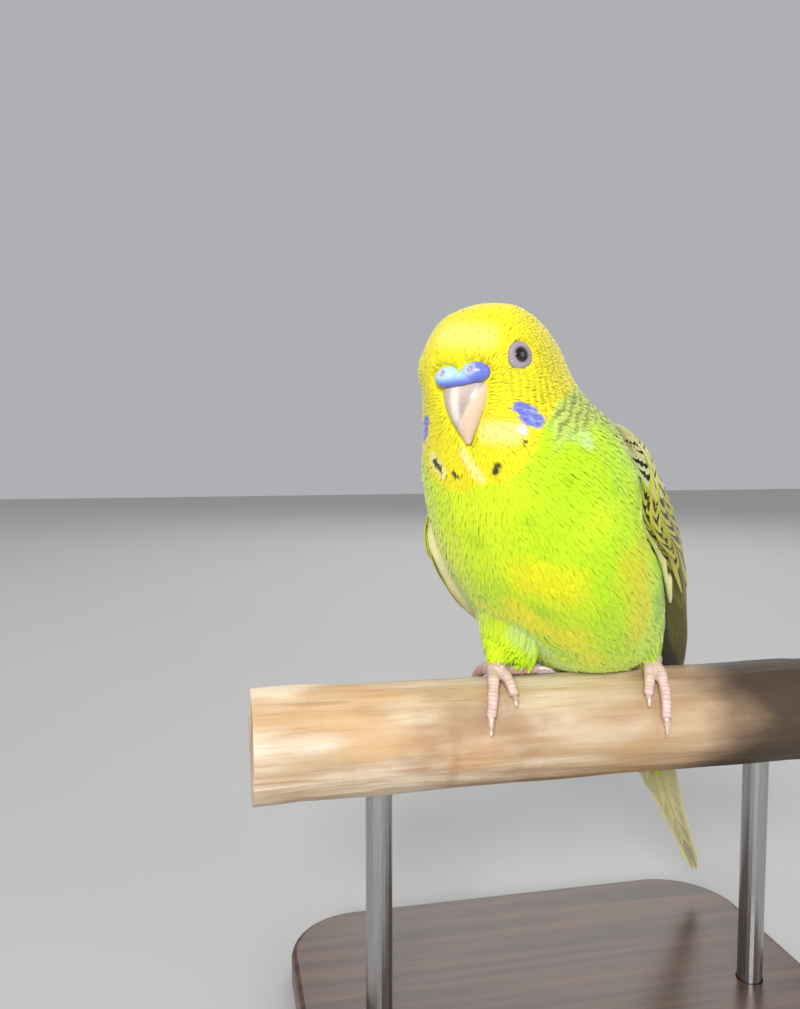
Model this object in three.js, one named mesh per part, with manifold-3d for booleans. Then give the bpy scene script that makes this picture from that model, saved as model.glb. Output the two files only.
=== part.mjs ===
// A life-size budgerigar that grips a cut length of branch, held by a plain display stand.
// Millimetres, +Z up. The origin is the middle of the stand's underside, +X runs along the branch,
// and the bird looks out over the -Y side.
import * as THREE from "three";
import { mergeVertices } from "three/addons/utils/BufferGeometryUtils.js";
import Module from "manifold-3d";

const wasm = await Module();
wasm.setup();

const { degToRad, lerp, clamp } = THREE.MathUtils;
const v3 = (x, y, z) => new THREE.Vector3(x, y, z);
const GAP = 0.3; // clearance that neighbouring pieces keep
const LEFT = 1;
const RIGHT = -1;

// Stand and branch. The branch's axis runs along X, at its own height above the floor.
const BASE = { length: 128, width: 92, height: 8, corner: 18, bevel: 1.4 };
const ROD = { radius: 3, spread: 47, sunk: 4 };
const BRANCH = { length: 150, radius: 12, height: 76, back: -6, swell: 0.9, plain: 32 };

// The bird's own frame stands on top of the branch, where the bird is symmetric: +X is its left
// and -Y its front. Each [forward, up] pair below is measured there.
const HEADING = 48; // degrees that the bird looks away from -Y, towards -X
const LEAN = 6; // degrees that it leans to its right
const SIDESTEP = -1; // how far the middle of its body is from the middle of its feet

// The trunk from crown to tail root: back line, front line, half width and squareness of section.
const TRUNK = [
  { back: [27.6, 82.6], front: [28.6, 82.6], half: 0.6, square: 2 },
  { back: [22.4, 80.9], front: [35.0, 80.6], half: 8.0, square: 2.1 },
  { back: [17.2, 77.2], front: [38.8, 76.4], half: 11.8, square: 2.2 },
  { back: [13.6, 72.6], front: [40.4, 71.6], half: 13.9, square: 2.4 },
  { back: [11.4, 68.0], front: [39.8, 66.6], half: 14.8, square: 2.5 },
  { back: [9.2, 64.4], front: [39.0, 61.0], half: 15.8, square: 2.6 },
  { back: [4.4, 61.4], front: [38.4, 54.4], half: 17.8, square: 2.5 },
  { back: [-1.2, 57.4], front: [37.9, 47.8], half: 20.8, square: 2.3 },
  { back: [-6.7, 51.4], front: [36.4, 40.5], half: 22.6, square: 2.2 },
  { back: [-12.2, 44.2], front: [33.6, 32.8], half: 23.6, square: 2.2 },
  { back: [-17.4, 36.8], front: [29.0, 24.6], half: 23.8, square: 2.2 },
  { back: [-21.8, 28.4], front: [22.4, 16.4], half: 22.8, square: 2.2 },
  { back: [-25.8, 19.6], front: [13.6, 8.6], half: 20.4, square: 2.2 },
  { back: [-29.4, 10.8], front: [3.4, 1.6], half: 16.6, square: 2.2 },
  { back: [-32.8, 1.6], front: [-8.0, -3.4], half: 12.6, square: 2.1 },
  { back: [-36.4, -8.0], front: [-18.6, -11.0], half: 9.4, square: 2 },
  { back: [-40.2, -18.0], front: [-28.0, -22.0], half: 7.2, square: 2 },
  { back: [-45.0, -28.0], front: [-37.8, -31.6], half: 5.2, square: 2 },
];
const TRUNK_SIDES = 24;
const RINGS_PER_STATION = 2;
const HEAD_CUT = { back: [6.4, 61.4], front: [38.4, 53.0] };
const NECK_CUT = { back: [-3.6, 53.4], front: [37.0, 44.0] };
const TAIL_CUT = { back: [-37.6, -11.0], front: [-21.5, -14.2] };

// Head pieces. The lids make a ring round each eye, and the eye looks out sideways and forward.
const EYE = { at: [11.7, 35.1, 69.6], outward: 65, upward: 4, radius: 2.5, deep: 1.75 };
const LIDS = { ring: 2.2, thick: 0.7 };
const CERE = { lobe: [3.0, 38.2, 67.1], lobeRadii: [3.3, 2.8, 2.4], bridge: [38.4, 66.0], bridgeRadii: [4.8, 2.7, 1.9] };
const NOSTRIL = { at: [3.2, 40.6, 67.8], radius: 0.62 };
const BILL = [
  { at: [36.2, 68.0], half: 4.4, deep: 2.6 },
  { at: [36.9, 65.0], half: 5.6, deep: 3.2 },
  { at: [37.5, 62.2], half: 4.95, deep: 3.6 },
  { at: [37.8, 59.4], half: 3.9, deep: 3.1 },
  { at: [38.0, 56.9], half: 2.4, deep: 2.2 },
  { at: [38.1, 54.9], half: 1.2, deep: 1.2 },
  { at: [38.1, 53.4], half: 0.45, deep: 0.4 },
];
const LOWER_BILL = { from: [31.8, 60.2], to: [35.8, 55.0], half: 3.0, tip: 1.5 };
const MOUTH = { at: [37.4, 56.4], radii: [3.7, 3.2, 3.4] };

// Folded wing, laid over the trunk from the wrist to the tip. Each list is read from wrist to tip.
const WING = {
  from: 0.4, // its place along the trunk
  to: 0.985,
  lowEdge: [-36, -20, 6, 1, -2, -9, -22, -40, -62], // degrees round the trunk, from its side to the front
  dropped: [0, 6, 14, 24, 22, 12, 4, 0, 0], // the right wing hangs this much lower
  highEdge: [-50, -68, -80, -83, -84, -84, -84, -84, -84],
  inner: [0.5, 0.6, 0.8, 1.2, 2.2, 3.6, 4.2, 3.6, 2.6], // how far its inner face stands off the trunk
  arm: [0.9, 1.9, 2.1, 1.9, 1.5, 0.7], // thickness of the part that holds the feathers
  armEnd: 0.56,
};

// Feathers of a wing in tiers, each read from its low edge to its high edge. Root and tip are
// [place, place across], for the first feather and the last, top is the height of the upper face
// over the wing's inner face at root and tip, and step what each feather lies over the one before.
const TIERS = {
  primaries: {
    count: 5, half: 3.0, outline: [0.8, 1, 0.85, 0.12], thick: 0.6, top: [1.2, 0.7], step: 0.2,
    root: [[0.36, 0.14], [0.36, 0.6]], tip: [[1, 0.45], [0.76, 0.82]],
  },
  secondaries: {
    count: 4, half: 3.7, outline: [0.8, 1, 0.95, 0.4], thick: 0.9, top: [1.5, 1.9], step: 0.12,
    root: [[0.28, 0.4], [0.28, 0.82]], tip: [[0.72, 0.5], [0.6, 0.88]],
  },
  tertials: {
    count: 2, half: 3.4, outline: [0.8, 1, 0.9, 0.35], thick: 1.1, top: [1.9, 2.6], step: 0.15,
    root: [[0.26, 0.84], [0.24, 0.94]], tip: [[0.58, 0.86], [0.5, 0.94]],
  },
};
const COVERTS = {
  half: 4.1, outline: [0.8, 1, 0.55], thick: 0.6, sunk: 0.1, lift: 0.5,
  rows: [
    { count: 5, root: [[0.2, 0.1], [0.18, 0.9]], tip: [[0.46, 0.12], [0.38, 0.9]] },
    { count: 5, root: [[0.11, 0.06], [0.1, 0.9]], tip: [[0.31, 0.04], [0.26, 0.92]] },
    { count: 4, root: [[0.04, 0.12], [0.03, 0.86]], tip: [[0.2, 0.1], [0.15, 0.88]] },
  ],
};

// Tail, straight from its root, hung so that its tip is well below the branch.
// Its feathers lie in pairs, the middle pair longest and on top, the others ever shorter under it.
const TAIL = { root: [-29.5, -9], tip: [-69.2, -73.5] };
const RECTRICES = { lengths: [1, 0.86, 0.75, 0.65, 0.56, 0.48], half: 1.7, spread: 0.66, step: 0.26, thick: 0.6 };
const TAIL_COVERTS = { count: 3, lengths: [22, 34], half: 3.2, spread: 2, top: 1.5, thick: 1.3 };

// Feet, in the branch's frame. Each toe runs from one place on the branch to another, given as
// [distance along the branch, degrees round it from the top to the front].
const TOE = { radius: 1.45, tip: 1.1, sides: 6, steps: 4 };
const CLAW = { radius: 0.85, tip: 0.25, rise: 0.9 };
const FEET = {
  right: {
    sole: [-20.2, -0.6, 14.2],
    knee: [-18.6, -1.0, 23.0],
    hip: [-10.5, 9.0, 22.0],
    toes: [
      { from: [-17.6, -3], to: [-10.8, -5], claw: [-6.6, 4] },
      { from: [-19.0, 4], to: [-18.4, 34], claw: [-18.6, 52] },
      { from: [-21.0, 4], to: [-24.6, 54], claw: [-25.1, 77] },
      { from: [-21.2, -8], to: [-21.8, -50], claw: [-22.0, -76] },
    ],
  },
  left: {
    sole: [18.6, -0.2, 14.2],
    knee: [18.4, 1.5, 22.0],
    hip: [11.0, -5.0, 22.0],
    toes: [
      { from: [16.2, -2], to: [11.8, 3], claw: [8.4, 9] },
      { from: [17.0, 5], to: [12.9, 42], claw: [12.2, 60] },
      { from: [18.6, 5], to: [15.6, 66], claw: [15.7, 90] },
      { from: [20.6, -6], to: [24.6, -40], claw: [25.6, -66] },
    ],
  },
};
const THIGH = { radii: [2.3, 4.4, 6.4, 7.4, 7.8], from: 0.2 }; // from its lower end to the hip
const TARSUS = 1.75;

// Value at a place from 0 to 1 on a smooth line through equally spaced values.
function through(values, place) {
  const at = clamp(place, 0, 1) * (values.length - 1);
  const i = Math.min(Math.floor(at), values.length - 2);
  const [a, b, c, d] = [-1, 0, 1, 2].map((k) => values[clamp(i + k, 0, values.length - 1)]);
  const f = at - i;
  return b + 0.5 * f * (c - a + f * (2 * a - 5 * b + 4 * c - d + f * (3 * (b - c) + d - a)));
}

const steps = (count) => Array.from({ length: count + 1 }, (_, i) => i / count);
const forwardUp = ([forward, up], across = 0) => v3(across, -forward, up);

// A closed geometry from points and triangles, turned so that its faces point out.
function closed(points, faces) {
  let volume = 0;
  for (let i = 0; i < faces.length; i += 3) {
    volume += points[faces[i]].dot(points[faces[i + 1]].clone().cross(points[faces[i + 2]]));
  }
  const geometry = new THREE.BufferGeometry();
  const flat = points.flatMap((p) => p.toArray());
  geometry.setAttribute("position", new THREE.Float32BufferAttribute(flat, 3));
  return geometry.setIndex(volume < 0 ? faces.toReversed() : faces);
}

// A closed geometry through rings of equally many points, with a fan at each end.
function loft(rings) {
  const around = rings[0].length;
  const points = rings.flat();
  const faces = [];
  for (let i = 0; i + 1 < rings.length; i++) {
    for (let j = 0; j < around; j++) {
      const a = i * around + j;
      const b = i * around + ((j + 1) % around);
      faces.push(a, b, b + around, a, b + around, a + around);
    }
  }
  for (const ring of [0, rings.length - 1]) {
    const middle = v3(0, 0, 0);
    for (const point of rings[ring]) middle.addScaledVector(point, 1 / around);
    points.push(middle);
    for (let j = 0; j < around; j++) {
      const edge = [ring * around + j, ring * around + ((j + 1) % around)];
      faces.push(points.length - 1, ...(ring ? edge : edge.reverse()));
    }
  }
  return closed(points, faces);
}

// A closed plate between two faces, each a grid of rows of points, split into triangles alike.
function plate(outer, inner) {
  const [rows, columns] = [outer.length, outer[0].length];
  const points = [...outer.flat(), ...inner.flat()];
  const under = rows * columns;
  const faces = [];
  for (let i = 0; i + 1 < rows; i++) {
    for (let j = 0; j + 1 < columns; j++) {
      const a = i * columns + j;
      for (const [p, q, r] of [[a, a + 1, a + columns + 1], [a, a + columns + 1, a + columns]]) {
        faces.push(p, q, r, under + r, under + q, under + p);
      }
    }
  }
  const rim = [];
  for (let j = 0; j < columns - 1; j++) rim.push(j);
  for (let i = 0; i < rows - 1; i++) rim.push(i * columns + columns - 1);
  for (let j = columns - 1; j > 0; j--) rim.push((rows - 1) * columns + j);
  for (let i = rows - 1; i > 0; i--) rim.push(i * columns);
  rim.forEach((a, k) => {
    const b = rim[(k + 1) % rim.length];
    faces.push(b, a, under + a, b, under + a, under + b);
  });
  return closed(points, faces);
}

// A round tube along a path, with its own radius at each point, grown on all sides by a clearance.
function tube(path, radii, sides, grow = 0) {
  let side = v3(0.3, 0.2, 1);
  const last = path.length - 1;
  const rings = path.map((middle, i) => {
    const along = path[Math.min(i + 1, last)].clone().sub(path[Math.max(i - 1, 0)]).normalize();
    const point = middle.clone().addScaledVector(along, i === 0 ? -grow : i === last ? grow : 0);
    const radius = radii[i] + grow;
    side = side.clone().addScaledVector(along, -side.dot(along)).normalize();
    const across = along.clone().cross(side);
    return steps(sides).slice(1).map((turn) =>
      point.clone()
        .addScaledVector(side, radius * Math.cos(2 * Math.PI * turn))
        .addScaledVector(across, radius * Math.sin(2 * Math.PI * turn)),
    );
  });
  return loft(rings);
}

function ellipsoid(middle, [x, y, z], sides = 12) {
  const geometry = new THREE.SphereGeometry(1, sides, Math.round(sides * 0.65));
  return geometry.scale(x, y, z).translate(middle.x, middle.y, middle.z);
}

// A geometry as a solid that can be joined and cut, and a solid's largest body as a geometry.
function solid(geometry) {
  const bare = geometry.clone();
  bare.deleteAttribute("normal");
  bare.deleteAttribute("uv");
  const merged = mergeVertices(bare, 1e-4);
  const vertProperties = new Float32Array(merged.attributes.position.array);
  const triVerts = new Uint32Array(merged.index.array);
  return new wasm.Manifold(new wasm.Mesh({ numProp: 3, vertProperties, triVerts }));
}

function largestOf(made) {
  const largest = made.decompose().reduce((a, b) => (b.volume() > a.volume() ? b : a));
  const { vertProperties, triVerts } = largest.getMesh();
  const geometry = new THREE.BufferGeometry();
  geometry.setAttribute("position", new THREE.BufferAttribute(new Float32Array(vertProperties), 3));
  geometry.setIndex(new THREE.BufferAttribute(new Uint32Array(triVerts), 1));
  return geometry;
}

const joined = (...geometries) => geometries.map(solid).reduce((a, b) => a.add(b));
const cutBy = (made, ...cutters) => cutters.reduce((a, b) => a.subtract(b), made);

// A point on the trunk, by its place from crown (0) to tail root (1) and the angle round it, from
// the left side (0) to the front (90) or the back (-90).
function onRing(place, degrees, grow = 0) {
  const at = (key, i) => through(TRUNK.map((station) => (i === undefined ? station[key] : station[key][i])), place);
  const back = forwardUp([at("back", 0), at("back", 1)]);
  const front = forwardUp([at("front", 0), at("front", 1)]);
  const reach = front.clone().sub(back).multiplyScalar(0.5);
  const power = 2 / at("square");
  const [c, s] = [Math.cos(degToRad(degrees)), Math.sin(degToRad(degrees))];
  return back.add(reach)
    .add(v3((at("half") + grow) * Math.sign(c) * Math.abs(c) ** power, 0, 0))
    .addScaledVector(reach.setLength(reach.length() + grow), Math.sign(s) * Math.abs(s) ** power);
}

// The same point, lifted off the trunk by a height.
function onTrunk(place, degrees, height = 0) {
  const point = onRing(place, degrees);
  const along = onRing(place + 0.01, degrees).sub(onRing(place - 0.01, degrees));
  const round = onRing(place, degrees + 2).sub(onRing(place, degrees - 2));
  return point.addScaledVector(round.cross(along).normalize(), height);
}

function trunk(grow = 0) {
  const ring = (place) => steps(TRUNK_SIDES).slice(1).map((turn) => onRing(place, 360 * turn, grow));
  return solid(loft(steps((TRUNK.length - 1) * RINGS_PER_STATION).map(ring)));
}

// All that lies above a straight cut through the trunk, or below it.
function beyond({ back, front }, above) {
  const across = forwardUp(front).sub(forwardUp(back)).normalize();
  const normal = across.clone().cross(v3(1, 0, 0));
  if (normal.z > 0 !== above) normal.negate();
  const reach = 400;
  const box = new THREE.BoxGeometry(reach, reach, reach).translate(0, 0, (reach + GAP) / 2);
  box.applyQuaternion(new THREE.Quaternion().setFromUnitVectors(v3(0, 0, 1), normal));
  const { x, y, z } = forwardUp(back);
  return solid(box.translate(x, y, z));
}

// The way that an eye looks, and the middle of its ball.
function eyeLine(side) {
  const [outward, upward] = [degToRad(EYE.outward), degToRad(EYE.upward)];
  return v3(side * Math.sin(outward) * Math.cos(upward), -Math.cos(outward) * Math.cos(upward), Math.sin(upward));
}

function eyeMiddle(side) {
  const [across, ...rest] = EYE.at;
  return forwardUp(rest, side * across).addScaledVector(eyeLine(side), -EYE.deep);
}

const eye = (side, grow = 0) => ellipsoid(eyeMiddle(side), Array(3).fill(EYE.radius + grow));

function lids(side) {
  const ring = new THREE.TorusGeometry(LIDS.ring, LIDS.thick, 5, 14);
  ring.applyQuaternion(new THREE.Quaternion().setFromUnitVectors(v3(0, 0, 1), eyeLine(side)));
  const middle = eyeMiddle(side).addScaledVector(eyeLine(side), EYE.deep - 0.1);
  return ring.translate(middle.x, middle.y, middle.z);
}

function cere(grow = 0) {
  const [across, ...rest] = CERE.lobe;
  const grown = (radii) => radii.map((radius) => radius + grow);
  const lobe = (side) => ellipsoid(forwardUp(rest, side * across), grown(CERE.lobeRadii));
  const made = joined(lobe(LEFT), lobe(RIGHT), ellipsoid(forwardUp(CERE.bridge), grown(CERE.bridgeRadii)));
  if (grow) return made;
  const [nostril, ...place] = NOSTRIL.at;
  const hole = (side) => ellipsoid(forwardUp(place, side * nostril), Array(3).fill(NOSTRIL.radius), 10);
  return cutBy(made, solid(hole(LEFT)), solid(hole(RIGHT)));
}

function upperBill(grow = 0) {
  return loft(BILL.map(({ at, half, deep }, i) =>
    steps(16).slice(1).map((turn) => {
      const [c, s] = [Math.cos(2 * Math.PI * turn), Math.sin(2 * Math.PI * turn)];
      const up = at[1] + (i === 0 ? grow : i === BILL.length - 1 ? -grow : 0);
      return forwardUp([at[0] + (deep + grow) * s, up], (half + grow) * c);
    }),
  ));
}

function lowerBill(grow = 0) {
  const path = steps(5).map((place) => forwardUp(LOWER_BILL.from).lerp(forwardUp(LOWER_BILL.to), place));
  const radii = steps(5).map((place) => lerp(LOWER_BILL.half, LOWER_BILL.tip, place ** 2));
  return tube(path, radii, 14, grow);
}

// A point of a wing, by its place from wrist to tip and from low edge to high edge, both 0 to 1,
// and its height over the wing's inner face.
function onWing(side, place, across, height) {
  const drop = side === RIGHT ? through(WING.dropped, place) : 0;
  const degrees = lerp(through(WING.lowEdge, place) + drop, through(WING.highEdge, place), across);
  const point = onTrunk(lerp(WING.from, WING.to, place), degrees, through(WING.inner, place) + height);
  return point.multiply(v3(side, 1, 1));
}

// A feather vane: its two faces over a line, given by a point for each place along it, distance
// to its side and height. It is a little arched, and tilted so that one edge lies over the next.
function vane(pointAt, { half, outline, thick, top }) {
  const tilt = 0.14;
  const arch = 0.16;
  const face = (under) => steps(outline.length - 1).map((place, i) =>
    [-1, 0, 1].map((edge) => {
      const drop = tilt * edge + arch * edge * edge + under * thick * lerp(1, 0.65, place);
      return pointAt(place, half * outline[i] * edge, lerp(...top, place) - drop);
    }),
  );
  return solid(plate(face(0), face(1)));
}

// One tier of feathers on a wing.
function tier(side, { count, root, tip, step = 0, ...form }, above) {
  return steps(count - 1).map((which, i) => {
    const ends = [root, tip].map(([first, last]) => first.map((value, k) => lerp(value, last[k], which)));
    const pointAt = (along, offset, height) => {
      const [place, across] = [0, 1].map((k) => lerp(ends[0][k], ends[1][k], along));
      const breadth = onWing(side, place, 0.1, 0).distanceTo(onWing(side, place, 0.9, 0)) / 0.8;
      return onWing(side, place, across + offset / breadth, above(place) + height);
    };
    const top = form.top.map((height, end) => height + i * step * (end ? 1 : 0.5));
    return vane(pointAt, { ...form, top });
  });
}

function wing(side) {
  const armThick = (place) => through(WING.arm, place / WING.armEnd);
  const face = (outer) => steps(6).map((part) =>
    steps(5).map((across) => {
      const place = part * WING.armEnd;
      return onWing(side, place, lerp(0.02, 0.98, across), outer * armThick(place));
    }),
  );
  const { rows, sunk, lift, ...covert } = COVERTS;
  const feathers = [
    ...Object.values(TIERS).flatMap((each) => tier(side, each, () => 0)),
    ...rows.flatMap((row) => tier(side, { ...covert, ...row, top: [-sunk, lift] }, armThick)),
  ];
  return feathers.reduce((a, b) => a.add(b), solid(plate(face(1), face(0))));
}

// A point of the tail, by its distance along it, across it and above its middle.
function onTail(along, across, height) {
  const root = forwardUp(TAIL.root);
  const way = forwardUp(TAIL.tip).sub(root).normalize();
  const up = way.clone().cross(v3(1, 0, 0)).multiplyScalar(-1);
  return root.addScaledVector(way, along).add(v3(across, 0, 0)).addScaledVector(up, height);
}

const TAIL_LENGTH = forwardUp(TAIL.tip).distanceTo(forwardUp(TAIL.root));

function tail() {
  const rectrices = RECTRICES.lengths.flatMap((length, pair) =>
    [LEFT, RIGHT].map((side) => {
      const { half, spread, step, thick } = RECTRICES;
      const centre = (along) => side * (lerp(1.1, 0.55, along) + spread * pair);
      const pointAt = (along, offset, height) =>
        onTail(along * length * TAIL_LENGTH, centre(along) + side * offset, height);
      const top = [1.2 - pair * step * 0.6, 0.5 - pair * step];
      return vane(pointAt, { half, outline: [1, 1, 0.85, 0.15], thick, top });
    }),
  );
  const coverts = [1, -1].flatMap((face) =>
    steps(TAIL_COVERTS.count - 1).map((which) => {
      const { lengths, half, spread, top, thick } = TAIL_COVERTS;
      const out = 2 * which - 1;
      const length = lerp(lengths[1], lengths[0], out * out);
      const pointAt = (along, offset, height) =>
        onTail(along * length, out * spread * lerp(2, 1, along) + offset, face * (height + 0.1 * (1 - out * out)));
      return vane(pointAt, { half, outline: [0.9, 1, 0.4], thick, top: [top + 0.6, top * 0.6] });
    }),
  );
  return [...rectrices, ...coverts].reduce((a, b) => a.add(b));
}

// A point over the branch, in the branch's frame.
function overBranch([along, degrees], height) {
  const radius = BRANCH.radius + GAP + height;
  return v3(along, -radius * Math.sin(degToRad(degrees)), radius * Math.cos(degToRad(degrees)));
}

function toe({ from, to }, sole, grow) {
  const place = (part) => [lerp(from[0], to[0], part), lerp(from[1], to[1], part)];
  const radii = steps(TOE.steps).map((part) => lerp(TOE.radius, TOE.tip, part));
  const path = radii.map((radius, i) => overBranch(place(i / TOE.steps), radius));
  return tube([sole, ...path], [TOE.radius, ...radii], TOE.sides, grow);
}

function foot({ knee, sole, toes }, grow = 0) {
  const base = v3(...sole);
  const top = base.clone().lerp(v3(...knee), 0.6);
  const tarsus = tube([top, base], [TARSUS, TARSUS], 10, grow);
  const pad = ellipsoid(base, [2.3 + grow, 2.3 + grow, 1.6 + grow], 10);
  return joined(tarsus, pad, ...toes.map((each) => toe(each, base, grow)));
}

function claw({ to, claw: tip }, grow = 0) {
  const arc = (part) => [lerp(to[0], tip[0], part), lerp(to[1], tip[1], part)];
  const reach = steps(4);
  const start = (2 * GAP) / overBranch(to, 0).distanceTo(overBranch(tip, 0));
  const path = reach.map((part) =>
    overBranch(arc(lerp(start, 1, part)), CLAW.radius + CLAW.rise * Math.sin(Math.PI * part) * 0.4),
  );
  return solid(tube(path, reach.map((part) => lerp(CLAW.radius, CLAW.tip, part)), 6, grow));
}

// The cut length of branch, round where the feet grip it and a little knotted towards its ends.
function branch(grow = 0) {
  const rings = steps(12).map((place) => {
    const along = lerp(-BRANCH.length / 2 - grow, BRANCH.length / 2 + grow, place);
    const away = Math.max(0, Math.abs(along) - BRANCH.plain) / (BRANCH.length / 2 - BRANCH.plain);
    return steps(22).slice(1).map((turn) => {
      const angle = 2 * Math.PI * turn;
      const knots = 0.5 + 0.5 * Math.sin(along * 0.13 + 2 * angle) * Math.cos(3 * angle - along * 0.05);
      const radius = BRANCH.radius + grow + BRANCH.swell * away * knots;
      return v3(along, radius * Math.cos(angle), radius * Math.sin(angle));
    });
  });
  return loft(rings);
}

// A rod of the stand, from inside the base to inside the branch.
function rodAt(side, grow = 0) {
  const bottom = BASE.height - ROD.sunk - grow;
  const top = BRANCH.height - BRANCH.radius + ROD.sunk + grow;
  const rod = new THREE.CylinderGeometry(ROD.radius + grow, ROD.radius + grow, top - bottom, 20);
  return rod.rotateX(Math.PI / 2).translate(side * ROD.spread, BRANCH.back, (top + bottom) / 2);
}

function base() {
  const { length, width, height, corner, bevel } = BASE;
  const [x, y, r] = [length / 2 - bevel, width / 2 - bevel, corner];
  const outline = new THREE.Shape();
  outline.moveTo(x - r, -y).absarc(x - r, r - y, r, -Math.PI / 2, 0).absarc(x - r, y - r, r, 0, Math.PI / 2);
  outline.absarc(r - x, y - r, r, Math.PI / 2, Math.PI).absarc(r - x, r - y, r, Math.PI, 1.5 * Math.PI);
  const slab = new THREE.ExtrudeGeometry(outline, {
    depth: height - 2 * bevel,
    bevelThickness: bevel,
    bevelSize: bevel,
    bevelSegments: 2,
    curveSegments: 5,
  });
  return slab.translate(0, 0, bevel);
}

// Finishes of the pieces.
const finish = (color, roughness, metalness = 0) =>
  new THREE.MeshStandardMaterial({ color, roughness, metalness, flatShading: true });
const FINISH = {
  mask: finish(0xf5ea2c, 0.85),
  breast: finish(0xa9dc22, 0.85),
  wing: finish(0xd9cf6e, 0.8),
  tail: finish(0xd5cf9a, 0.8),
  cere: finish(0x8b9bea, 0.45),
  horn: finish(0xdfcfbc, 0.35),
  eye: finish(0x14100f, 0.08),
  skin: finish(0xc9a397, 0.6),
  claw: finish(0xa8968c, 0.4),
  wood: finish(0xe2c9a2, 0.75),
  base: finish(0x6b4a33, 0.4),
  steel: finish(0xb9bcc0, 0.3, 1),
};

function add(group, name, made, look) {
  const mesh = new THREE.Mesh(largestOf(made), look);
  mesh.name = name;
  group.add(mesh);
}

const part = new THREE.Group();
const perched = new THREE.Group();
const bird = new THREE.Group();
part.add(perched);
perched.add(bird);
perched.position.set(0, BRANCH.back, BRANCH.height);
bird.rotation.set(0, degToRad(-LEAN), degToRad(-HEADING), "ZYX");
bird.position.z = BRANCH.radius;
bird.translateX(SIDESTEP);
bird.updateMatrix();

// A geometry of the branch's frame, seen from the bird's own frame, and the other way round.
const inBird = (geometry) => geometry.clone().applyMatrix4(bird.matrix.clone().invert());
const hipOf = ({ hip: [across, ...rest] }) => forwardUp(rest, across).applyMatrix4(bird.matrix);

function thigh(leg, grow = 0) {
  const line = new THREE.QuadraticBezierCurve3(v3(...leg.sole), v3(...leg.knee), hipOf(leg));
  const path = steps(6).map((place) => line.getPoint(lerp(THIGH.from, 1, place)));
  return tube(path, steps(6).map((place) => through(THIGH.radii, place)), 14, grow);
}

const legs = Object.entries(FEET);
const CLEAR = GAP + 0.05;
const whole = trunk();
const branchSeat = solid(inBird(branch(CLEAR)));
const thighSeats = legs.map(([, leg]) => solid(inBird(thigh(leg, CLEAR))));
const footSeats = legs.map(([, leg]) => solid(inBird(largestOf(foot(leg, CLEAR)))));
const clawSeats = legs.flatMap(([, leg]) =>
  leg.toes.map((each) => solid(inBird(largestOf(claw(each, CLEAR))))),
);

const skull = joined(largestOf(whole.intersect(beyond(HEAD_CUT, true))), lids(LEFT), lids(RIGHT));
const faceSeats = [
  solid(eye(LEFT, GAP)),
  solid(eye(RIGHT, GAP)),
  cere(GAP),
  solid(upperBill(GAP)),
  solid(lowerBill(GAP)),
  solid(ellipsoid(forwardUp(MOUTH.at), MOUTH.radii)),
];
add(bird, "head", cutBy(skull, ...faceSeats), FINISH.mask);
add(bird, "cere", cutBy(cere(), solid(upperBill(GAP))), FINISH.cere);
add(bird, "bill_upper", solid(upperBill()), FINISH.horn);
add(bird, "bill_lower", cutBy(solid(lowerBill()), solid(upperBill(GAP))), FINISH.horn);
const sides = [["left", LEFT], ["right", RIGHT]];
for (const [word, side] of sides) add(bird, `eye_${word}`, solid(eye(side)), FINISH.eye);

const neck = whole.intersect(beyond(HEAD_CUT, false)).intersect(beyond(NECK_CUT, true));
add(bird, "neck", neck, FINISH.mask);
const torso = whole.intersect(beyond(NECK_CUT, false)).intersect(beyond(TAIL_CUT, true));
add(bird, "torso", cutBy(torso, branchSeat, ...thighSeats, ...footSeats, ...clawSeats), FINISH.breast);
const tailRoot = whole.intersect(beyond(TAIL_CUT, false));
const torsoSide = beyond(TAIL_CUT, false);
add(bird, "tail", cutBy(tailRoot.add(tail().intersect(torsoSide)), branchSeat), FINISH.tail);
for (const [word, side] of sides) add(bird, `wing_${word}`, cutBy(wing(side), branchSeat), FINISH.wing);

for (const [word, leg] of legs) {
  const grownFoot = foot(leg, CLEAR);
  add(perched, `thigh_${word}`, cutBy(solid(thigh(leg)), grownFoot, solid(branch(CLEAR))), FINISH.breast);
  add(perched, `foot_${word}`, foot(leg), FINISH.skin);
  leg.toes.forEach((each, i) => add(perched, `claw_${word}_${i + 1}`, claw(each), FINISH.claw));
}

const rods = sides.map(([, side]) => solid(rodAt(side, GAP)));
const bores = rods.map((rod) => rod.translate([0, -BRANCH.back, -BRANCH.height]));
add(perched, "perch", cutBy(solid(branch()), ...bores), FINISH.wood);
add(part, "stand_base", cutBy(solid(base()), ...rods), FINISH.base);
for (const [word, side] of sides) add(part, `stand_rod_${word}`, solid(rodAt(side)), FINISH.steel);

export default part;
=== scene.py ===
"""A life-size budgerigar that grips a cut length of branch, held by a plain display stand."""

import math

import bpy
import numpy as np
from mathutils import Matrix, Vector
from mathutils.bvhtree import BVHTree
from mathutils.kdtree import KDTree


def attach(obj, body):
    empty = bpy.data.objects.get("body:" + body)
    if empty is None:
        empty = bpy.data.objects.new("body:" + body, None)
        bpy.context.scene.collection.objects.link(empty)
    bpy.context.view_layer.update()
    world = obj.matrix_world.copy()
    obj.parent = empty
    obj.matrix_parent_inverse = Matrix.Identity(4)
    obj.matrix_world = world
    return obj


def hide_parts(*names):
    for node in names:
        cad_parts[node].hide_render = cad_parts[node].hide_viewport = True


MM = 0.001
random = np.random.default_rng(20)
# Stand, branch and the bird's place on it, in millimetres and degrees, as in the solids.
BRANCH_RADIUS = 12.0
BRANCH_LENGTH = 150.0
BRANCH_BACK = -6.0
BRANCH_HEIGHT = 76.0
HEADING = 48.0  # degrees that the bird looks away from -Y, towards -X
LEAN = 6.0
SIDESTEP = -1.0
GAP = 0.3

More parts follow.
